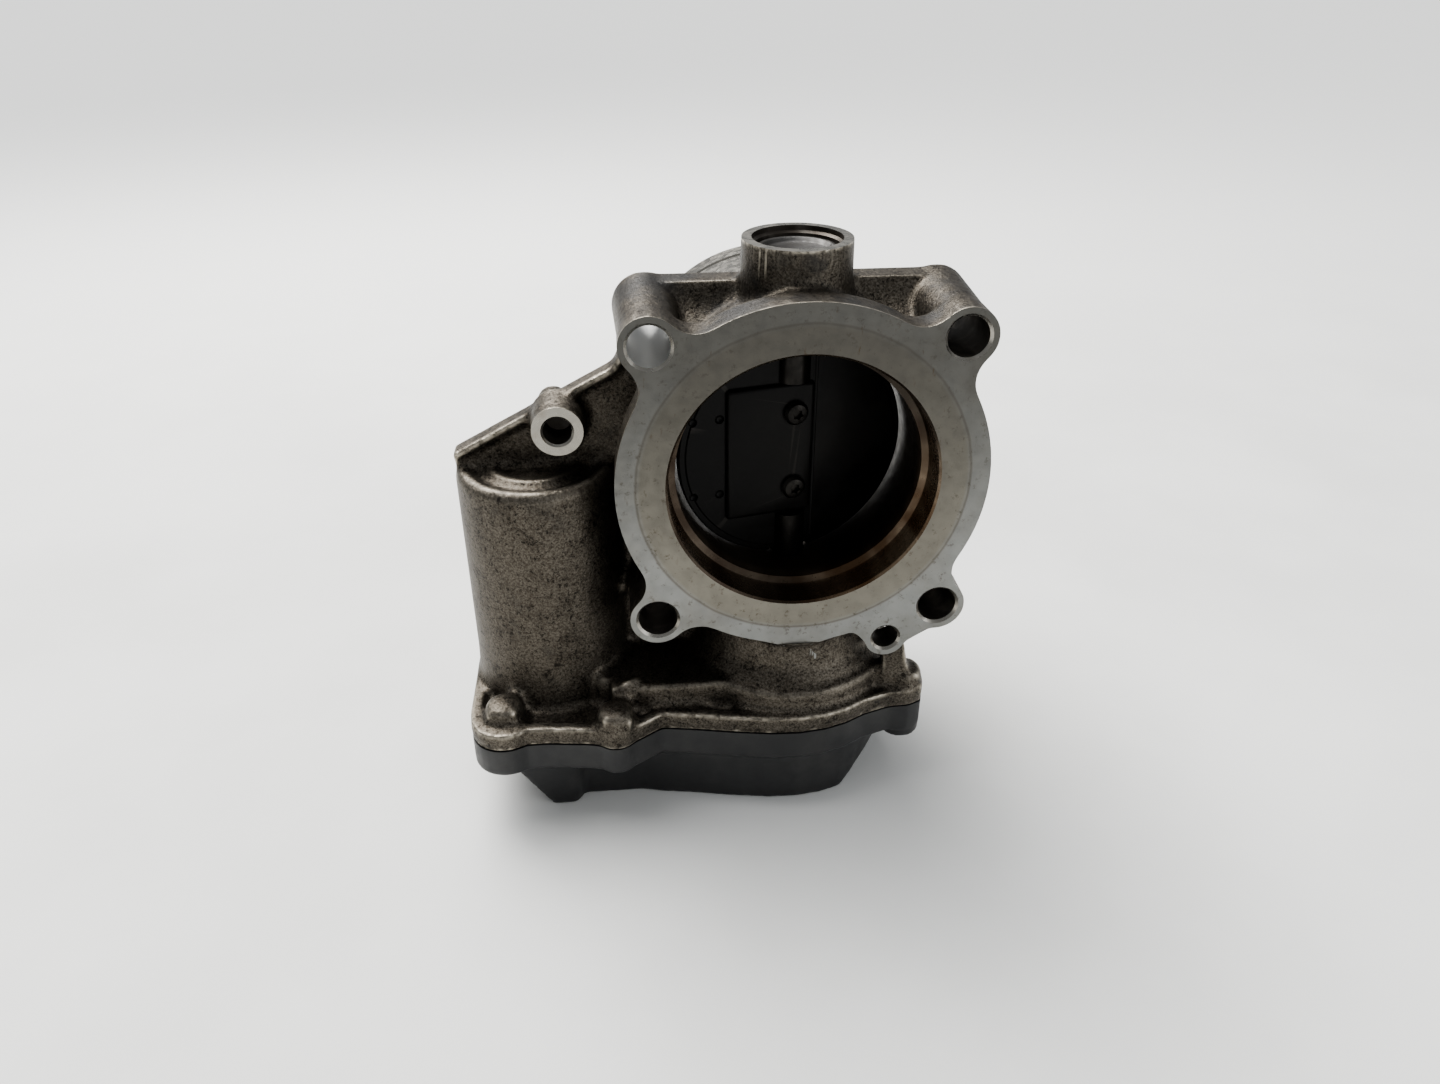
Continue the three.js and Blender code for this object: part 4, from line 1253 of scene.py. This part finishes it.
    def idler_post(self) -> Solid:
        """The post that holds the idler's pin, open at its end."""
        profile = [(2.8, 21.5), (5.0, 21.5), (5.0, 32.5), (2.8, 32.5)]
        return Solid.turned(profile, Axis.Z, (*self.layout.idler, 0), 32)

    def build(self) -> bpy.types.Object:
        """Casts the housing, then machines it."""
        shells = self.flange_shells() + self.barrel_shells() + self.case_shells() + self.motor_shells()
        piece = self.mould.cast("housing_casting", shells)
        machine(piece, [self.spigot()], Cut.JOIN)
        machine(piece, self.face_and_bore())
        machine(piece, self.inner_spaces())
        machine(piece, [self.idler_post()], Cut.JOIN)
        shade(piece)
        return piece

    def surface(self, centre: Vector, normal: Vector) -> int:
        """Which finish a face takes: 0 cast, 1 flange face, 2 airway, 3 turned, 4 drilled.

        Args:
            centre: The face's centre, in millimetres.
            normal: Its direction.

        Returns:
            The index of its material.
        """
        z = self.layout.bore_z
        reach = math.hypot(centre.x, centre.z - z)
        x, low, r = self.small_ear
        bx, bz, br = self.bracket
        from_bracket = math.hypot(centre.x - bx, centre.z - bz)
        across = any(math.hypot(centre.x - a, centre.z - b) < self.ear_hole + 0.65 for a, b in self.ears())
        if abs(centre.y - self.flange_front) < 0.02 and normal.y < -0.9 and centre.z > low - r - 0.5:
            return 1
        if reach < self.mouth_radius + 0.6 and self.flange_front < centre.y:
            return 2
        at_bracket = from_bracket < self.bracket_hole + 0.75
        at_small_ear = math.hypot(centre.x - x, centre.z - low) < self.small_ear_hole + 0.65
        if from_bracket < self.bracket_hole + 0.2 and centre.y > self.bracket_face + 1.0:
            return 4
        if across or at_small_ear or at_bracket:
            if abs(normal.y) < 0.3:
                return 4
            return 3 if centre.y < self.flange_front + 1.0 or at_bracket else 0
        on_spigot = self.spigot_radius - 1.2 < reach < self.spigot_radius + 0.05
        if on_spigot and centre.y > self.plate_back + 1.5:
            return 3
        if centre.z > self.top - 6.1 and math.hypot(centre.x, centre.y) < 9.95 and normal.z < 0.9:
            return 4
        if abs(centre.z - self.top) < 0.02 or abs(centre.z - self.seam) < 0.02:
            return 3
        return 3 if from_bracket < br + 1 and abs(centre.y - self.bracket_face) < 0.02 else 0

    def dress(self, piece: bpy.types.Object) -> None:
        """Gives each face its finish, and ties the piece to the CAD."""
        finishes = [CastFinish(), MachinedFinish(), BoreFinish(), TurnedFinish(), DrilledFinish()]
        paint(piece, [finish.material() for finish in finishes])
        for face in piece.data.polygons:
            face.material_index = self.surface(face.center / MM, face.normal)
        dress(piece, "body", "casting", "housing")


# ------------------------------------------------------------------ gear cover
@dataclass
class GearCover:
    """The black moulded cover below the gears, with the plug's socket at its back."""

    layout: Layout
    case: CaseOutline
    mould: Mould
    seam: float = 23.5
    band: float = 16.5
    floor: float = 2.5
    wall: float = 2.2
    inset: float = 2.0
    slant_top: Point2 = (-70.0, 26.0)
    slant_bottom: Point2 = (-61.0, 12.0)
    socket_low: Point3 = (-61.5, 15.0, 3.5)
    socket_high: Point3 = (-37.5, 52.0, 17.5)
    socket_floor: float = 34.0

    def slants(self, grow: float, low: float) -> list[Solid]:
        """Wedges outside the two slanted end walls.

        Args:
            grow: How far to move them inward.
            low: Height where they start.

        Returns:
            The two wedges.
        """
        top, bottom, band = self.slant_top, self.slant_bottom, self.band
        x0, x1, under = bottom[0] + grow, bottom[1] - grow, low - 9
        left = [(x0, low), (top[0] + grow, band), (-100, band), (-100, under), (x0, under)]
        right = [(x1, low), (x1, under), (70, under), (70, band), (top[1] - grow, band)]
        return [Solid.prism(left, Axis.Y, -70, 70), Solid.prism(right, Axis.Y, -70, 70)]

    def hollow(self) -> bpy.types.Object:
        """The space inside, less the columns round the screws."""
        low = self.floor
        add = self.case.slabs(low, self.seam + 1, self.inset + self.wall, ears=False)
        columns = [Solid.rod(6.2, Axis.Z, -5, 40, at, 32) for at in self.layout.screws]
        return carved("hollow", add, self.slants(self.wall, low) + columns)

    def tray(self) -> bpy.types.Object:
        """The box below the band, whose walls draw in towards the floor."""
        walls: list[Solid] = []
        shapes = zip(self.case.shapes(self.inset + 1.2, ears=False), self.case.shapes(0.4, ears=False))
        for index, (low, high) in enumerate(shapes):
            inward = [(x, max(y, -23.9)) for x, y in low] if index == 0 else low
            wall = Solid.prism(inward, Axis.Z, 0, self.seam)
            for vert, (x, y) in zip([v for v in wall.mesh.verts if v.co.z > 1], high):
                vert.co.x, vert.co.y = x, y
            walls.append(wall)
        return carved("tray", walls, self.slants(0, 0))

    def build(self) -> bpy.types.Object:
        """Moulds the cover and cuts its crisp faces."""
        shells = [melted(self.tray())] + self.case.slabs(self.band - 0.6, self.seam + 1.2, 0)
        shells += [Solid.rod(5.0, Axis.Z, 13.0, self.band + 1, at, 32) for at in (self.layout.screws[2],)]
        low, high = self.socket_low, self.socket_high
        shells.append(Solid.box(low, high, 1.6))
        piece = self.mould.cast("cover_moulding", shells)
        w = self.wall - 0.2
        socket_low = (low[0] + w, self.socket_floor, low[2] + w)
        socket = Solid.box(socket_low, (high[0] - w, high[1] + 4, high[2] - w), 1.0)
        groove = carved(
            "groove",
            self.case.slabs(21.8, self.seam + 1, 0.8, ears=False),
            self.case.slabs(20.8, self.seam + 2, 2.3, ears=False),
        )
        cutters = [
            Solid.box((-100, -60, self.seam), (70, 70, self.seam + 10)),
            melted(self.hollow()),
            socket,
            melted(groove),
        ]
        cutters += [Solid.rod(4.2, Axis.Z, -4, self.band, at, 36) for at in self.layout.screws]
        cutters += [Solid.rod(1.9, Axis.Z, 0, 40, at, 24) for at in self.layout.screws]
        machine(piece, cutters)
        post = [(2.8, 1.5), (4.5, 1.5), (4.5, 6.2), (2.8, 6.2)]
        machine(piece, [Solid.turned(post, Axis.Z, (*self.layout.idler, 0), 32)], Cut.JOIN)
        shade(piece)
        return piece

    def dress(self, piece: bpy.types.Object) -> None:
        """Finishes the cover and ties it to the CAD."""
        paint(piece, [CoverFinish().material()])
        dress(piece, "body", "cover_plastic", "gear_cover")


# ------------------------------------------------------------------ throttle valve
@dataclass
class ThrottleValve:
    """The butterfly plate with its stamped pad and dimples, the slotted shaft and the two plate screws."""

    layout: Layout
    radius: float = 27.7
    thick: float = 2.4
    land: float = 25.9
    pad_x: Point2 = (-16.5, 5.0)
    pad_half: float = 16.5
    pad_rise: float = 1.2
    dimples: Point2 = (-24.3, -17.9)
    screw_z: float = 9.5
    shaft_radius: float = 4.0

    def plate(self) -> bpy.types.Object:
        """The plate: a disc with a bevelled land, a raised pad and four dimples."""
        z, t = self.layout.bore_z, self.thick / 2
        r = self.radius
        disc = [(0, -t), (self.land, -t), (self.land + 0.3, -t + 0.25), (r - 0.3, -t + 0.25)]
        disc += [(r, -t + 0.5), (r, t - 0.4), (r - 0.4, t), (0, t)]
        (x0, x1), half = self.pad_x, self.pad_half
        front = -t - self.pad_rise
        pad = Solid.box((x0, front, z - half), (x1, t - 0.3, z + half))
        pad.bevelled(1.1, 4)
        piece = carved("valve_plate", [Solid.turned(disc, Axis.Y, (0, 0, z), 128), pad])
        cutters: list[Solid] = []
        for side in (-1, 1):
            end = z + side * 29
            cutters.append(Solid.box((-5, -5, end - 2.6), (5, 5, end + 2.6)))
            cutters.append(Solid.rod(1.9, Axis.Y, -10, 10, (0, z + side * self.screw_z), 24))
            for x in self.dimples:
                dimple = Solid()
                bmesh.ops.create_uvsphere(dimple.mesh, u_segments=32, v_segments=20, radius=1.2)
                cutters.append(dimple.moved((x, -t - 0.5, z + side * self.screw_z)))
        cutters.append(Solid.box((5.0, -t - 2, z - 24.5), (5.8, -t + 0.2, z + 24.5), 0.15, 2))
        machine(piece, cutters)
        return piece

    def shaft(self) -> bpy.types.Object:
        """The shaft with its slot, the flat under the pad and the two cross holes."""
        z, r, half = self.layout.bore_z, self.shaft_radius, self.pad_half + 0.3
        rod = [(0, 8), (r - 0.5, 8), (r, 8.5), (r, 126.5), (r - 0.5, 127), (0, 127)]
        cutters = [
            Solid.box((-10, -1.5, z - 28.1), (10, 1.5, z + 28.1)),
            Solid.box((-10, -10, z - half), (10, -1.5, z + half)),
        ]
        cutters += [Solid.rod(1.9, Axis.Y, -10, 10, (0, z + s * self.screw_z), 24) for s in (-1, 1)]
        return carved("valve_shaft", [Solid.turned(rod, Axis.Z, steps=64)], cutters)

    def screw(self, side: int) -> bpy.types.Object:
        """One plate screw with a star-shaped drive."""
        z = self.layout.bore_z + side * self.screw_z
        front = -self.thick / 2 - self.pad_rise - 0.3
        body = [(0, front - 1.3), (1.2, front - 1.5), (2.3, front - 1.2), (2.9, front - 0.5)]
        body += [(2.9, front), (1.6, front), (1.6, 3.3), (1.3, 3.6), (0, 3.6)]
        star = [polar((0, z), 1.35 if i % 2 else 1.0, i * 30 + 15) for i in range(12)]
        drive = Solid.prism(star, Axis.Y, front - 3, front - 0.5)
        return carved("valve_screw", [Solid.turned(body, Axis.Y, (0, 0, z), 48)], [drive])

    def build(self) -> dict[str, bpy.types.Object]:
        """Builds the four pieces, turned to the rest pose, by the CAD node that each replaces."""
        made = {
            "throttle_plate": self.plate(),
            "throttle_shaft": self.shaft(),
            "plate_screw_upper": self.screw(1),
            "plate_screw_lower": self.screw(-1),
        }
        turn = Matrix.Rotation(math.radians(self.layout.rest_turn), 4, "Z")
        for piece in made.values():
            piece.data.transform(turn)
            shade(piece)
        return made

    def dress(self, made: dict[str, bpy.types.Object]) -> None:
        """Finishes the pieces and ties them to the CAD."""
        oiled = OILED.material()
        plate = PlateFinish().material()
        slots = {"throttle_plate": "plate_alloy", "throttle_shaft": "bearing_steel"}
        for node, piece in made.items():
            paint(piece, [plate if node == "throttle_plate" else oiled])
            dress(piece, "throttle", slots.get(node, "zinc_plate"), node)


# ------------------------------------------------------------------ small parts
OILED = Finish("oiled_steel", (0.020, 0.018, 0.016), (0.009, 0.008, 0.007), 0.34, 0.8, 0.5, 0.01)
STEEL = Finish("shaft_steel", (0.30, 0.29, 0.28), (0.20, 0.19, 0.17), 0.32, 0.95, 0.5, 0.01)
ZINC = Finish("zinc_screws", (0.48, 0.46, 0.40), (0.30, 0.27, 0.20), 0.34, 0.95, 0.4, 0.01)
PLUG = Finish("plug_steel", (0.070, 0.068, 0.066), (0.040, 0.037, 0.034), 0.42, 0.8, 0.6, 0.02, 0.5)
BEARING = Finish("bearing_steel", (0.50, 0.50, 0.50), (0.32, 0.31, 0.30), 0.24, 1.0, 0.4, 0.005)
RUBBER = Finish("seal_rubber", (0.014, 0.014, 0.014), (0.035, 0.034, 0.032), 0.62, 0.0, 0.3, 0.02)
SPRING = Finish("spring_steel", (0.20, 0.185, 0.16), (0.09, 0.08, 0.07), 0.33, 1.0, 0.4, 0.01)
NYLON = Finish("gear_plastic", (0.62, 0.56, 0.43), (0.50, 0.44, 0.32), 0.46, 0.0, 0.5, 0.012, 0.35)
MAGNET = Finish("magnet_ferrite", (0.055, 0.055, 0.058), (0.03, 0.03, 0.03), 0.5, 0.4, 0.4, 0.02)
BRASS = Finish("brass_contacts", (0.62, 0.45, 0.18), (0.40, 0.26, 0.09), 0.3, 1.0, 0.4, 0.006)
BOARD = Finish("sensor_board", (0.02, 0.10, 0.05), (0.012, 0.06, 0.035), 0.36, 0.0, 0.6, 0.01, 0.2, 0.4)


@dataclass
class SmallParts:
    """Core plug, cover screws and connector pins, and the finishes of parts that keep their CAD mesh."""

    layout: Layout
    kept: dict[str, Finish] = field(
        default_factory=lambda: {
            "upper_bearing": BEARING,
            "lower_bearing": BEARING,
            "shaft_seal": RUBBER,
            "return_spring": SPRING,
            "spring_bush": NYLON,
            "sector_gear": NYLON,
            "sensor_magnet": MAGNET,
            "intermediate_gear": NYLON,
            "intermediate_pin": BEARING,
            "motor_can": ZINC,
            "motor_magnet_left": MAGNET,
            "motor_magnet_right": MAGNET,
            "motor_armature": STEEL,
            "motor_shaft": BEARING,
            "motor_end_plate": ZINC,
            "motor_bush": BRASS,
            "motor_pinion": BRASS,
            "motor_wave_washer": SPRING,
            "motor_terminal_left": BRASS,
            "motor_terminal_right": BRASS,
            "motor_screw_1": ZINC,
            "motor_screw_2": ZINC,
            "cover_seal": RUBBER,
            "sensor_board": BOARD,
            "stop_screw": ZINC,
        }
    )

    def plug(self) -> bpy.types.Object:
        """The pressed core plug: a shallow steel cap with a raised edge."""
        cup = [(0, 129.4), (8.2, 129.4), (9.0, 130.2), (9.0, 132.5), (8.7, 132.9), (8.1, 133.0)]
        cup += [(7.6, 132.8), (7.2, 132.3), (6.8, 132.1), (0, 132.0)]
        return carved("core_plug_cup", [Solid.turned(cup, Axis.Z, steps=80)])

    def cover_screw(self, at: Point2) -> bpy.types.Object:
        """A cover screw: flanged head with a star drive, and a shank with threads above."""
        head = [(0, 14.1), (2.0, 13.9), (2.4, 14.3), (2.4, 15.4), (3.3, 15.7), (3.3, 16.2), (1.3, 16.2)]
        for turn in range(16):
            low = 17.2 + turn * 0.8
            head += [(1.3, low), (1.6, low + 0.3), (1.3, low + 0.6)]
        profile = head + [(0.9, 30.0), (0, 30.0)]
        star = [polar(at, 1.5 if i % 2 else 1.1, i * 30) for i in range(12)]
        drive = Solid.prism(star, Axis.Z, 12, 15.2)
        return carved("cover_screw", [Solid.turned(profile, Axis.Z, (*at, 0), 32)], [drive])

    def pin(self, node: str) -> bpy.types.Object:
        """A connector pin with a chamfered tip."""
        low, high = (tuple(c / MM for c in corner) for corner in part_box(node))
        return Solid.box(low, high, 0.18, 2).finished("contact_pin")

    def build(self) -> None:
        """Builds and finishes every small part."""
        plug = self.plug()
        paint(plug, [PLUG.material()])
        shade(plug)
        dress(plug, "body", "plug_steel", "core_plug")
        zinc, brass = ZINC.material(), BRASS.material()
        for index, at in enumerate(self.layout.screws, 1):
            screw = self.cover_screw(at)
            paint(screw, [zinc])
            shade(screw)
            dress(screw, "body", "zinc_plate", f"cover_screw_{index}")
        for index in range(1, 7):
            pin = self.pin(f"connector_pin_{index}")
            paint(pin, [brass])
            shade(pin)
            dress(pin, "body", "brass", f"connector_pin_{index}")

    def finish_kept(self, nodes: dict[str, bpy.types.Object]) -> None:
        """Gives each CAD node that stays its procedural finish."""
        made = {finish.name: finish.material() for finish in set(self.kept.values())}
        for node, finish in self.kept.items():
            paint(nodes[node], [made[finish.name]])
            log.info("%s keeps its CAD mesh, finish %s", node, finish.name)


# ------------------------------------------------------------------ studio
@dataclass
class Studio:
    """Camera, pale floor and soft light from above and behind, with a weak fill from the front."""

    camera_at: Point3 = (-37.75, -227.6, 193.8)
    aim: Point3 = (-17.8, -12.6, 67.9)
    lens: float = 26.81
    floor_size: float = 8.0
    daylight: float = 2.75
    spread: float = 60.0
    overhead: float = 7.0
    fill: float = 1.6
    sky: float = 0.36

    def camera(self) -> None:
        """Makes the camera."""
        data = bpy.data.cameras.new("camera")
        data.lens = self.lens
        data.sensor_width = 36.0
        data.clip_start = 0.01
        made = bpy.data.objects.new("camera", data)
        made.location = Vector(self.camera_at) * MM
        look = (Vector(self.aim) - Vector(self.camera_at)).normalized()
        made.rotation_euler = look.to_track_quat("-Z", "Y").to_euler()
        bpy.context.scene.collection.objects.link(made)
        bpy.context.scene.camera = made

    def lamp(self, name: str, at: Point3, size: float, watts: float, tint: Colour) -> None:
        """A soft square lamp aimed at the object.

        Args:
            name: Its name.
            at: Its place, in metres.
            size: Its side, in metres.
            watts: Its power.
            tint: Its colour.
        """
        data = bpy.data.lights.new(name, "AREA")
        data.size = size
        data.energy = watts
        data.color = tint
        made = bpy.data.objects.new(name, data)
        made.location = at
        made.rotation_euler = (Vector(self.aim) * MM - Vector(at)).to_track_quat("-Z", "Y").to_euler()
        bpy.context.scene.collection.objects.link(made)

    def sun(self) -> None:
        """The even daylight of the room, very soft, from above and behind."""
        data = bpy.data.lights.new("daylight", "SUN")
        data.energy = self.daylight
        data.angle = math.radians(self.spread)
        made = bpy.data.objects.new("daylight", data)
        made.rotation_euler = Vector((0.35, -0.45, -1.0)).to_track_quat("-Z", "Y").to_euler()
        bpy.context.scene.collection.objects.link(made)

    def floor(self) -> None:
        """A wide pale floor under the object."""
        solid = Solid()
        half = self.floor_size / (2 * MM)
        corners = [(-half, -half), (half, -half), (half, half), (-half, half)]
        solid.mesh.faces.new([solid.mesh.verts.new((x, y, 0)) for x, y in corners])
        made = solid.finished("floor")
        graph = Graph("floor_paper")
        tone = graph.mix(graph.ramp(graph.noise(90.0, 4), 0.3, 0.7), (0.78, 0.78, 0.76), (0.85, 0.85, 0.83))
        # Painted light: the floor turns lighter towards the back.
        tone = graph.mix(graph.ramp(graph.axis("Y"), 0.05, 0.60), tone, (1.0, 1.0, 0.98))
        graph.finish(tone, 0.8, 0.0)
        paint(made, [graph.material])

    def build(self) -> None:
        """Makes the studio."""
        self.camera()
        self.floor()
        self.lamp("overhead", (-0.25, 0.40, 0.70), 0.5, self.overhead, (1.0, 0.985, 0.96))
        self.lamp("fill", (0.55, -0.45, 0.25), 0.5, self.fill, (0.96, 0.98, 1.0))
        self.sun()
        world = bpy.data.worlds.new("room")
        world.use_nodes = True
        sky = world.node_tree.nodes["Background"]
        sky.inputs["Color"].default_value = (0.95, 0.975, 1.0, 1.0)
        sky.inputs["Strength"].default_value = self.sky
        bpy.context.scene.view_settings.look = "AgX - Medium High Contrast"
        bpy.context.scene.world = world


def main() -> None:
    """Builds the object and the studio."""
    logging.basicConfig(level=logging.INFO, format="%(name)s: %(message)s")
    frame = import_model()
    layout = Layout.read()
    case = CaseOutline(layout)
    voxel = 0.55
    housing = Housing(layout, case, Mould(voxel, fillet=0.9, rounds=3, triangles=160000))
    housing.dress(housing.build())
    cover = GearCover(layout, case, Mould(voxel, fillet=0.6, rounds=2, triangles=100000))
    cover.dress(cover.build())
    valve = ThrottleValve(layout)
    valve.dress(valve.build())
    small = SmallParts(layout)
    small.build()
    small.finish_kept(frame["nodes"])
    Studio().build()


if __name__ == "__main__":
    main()
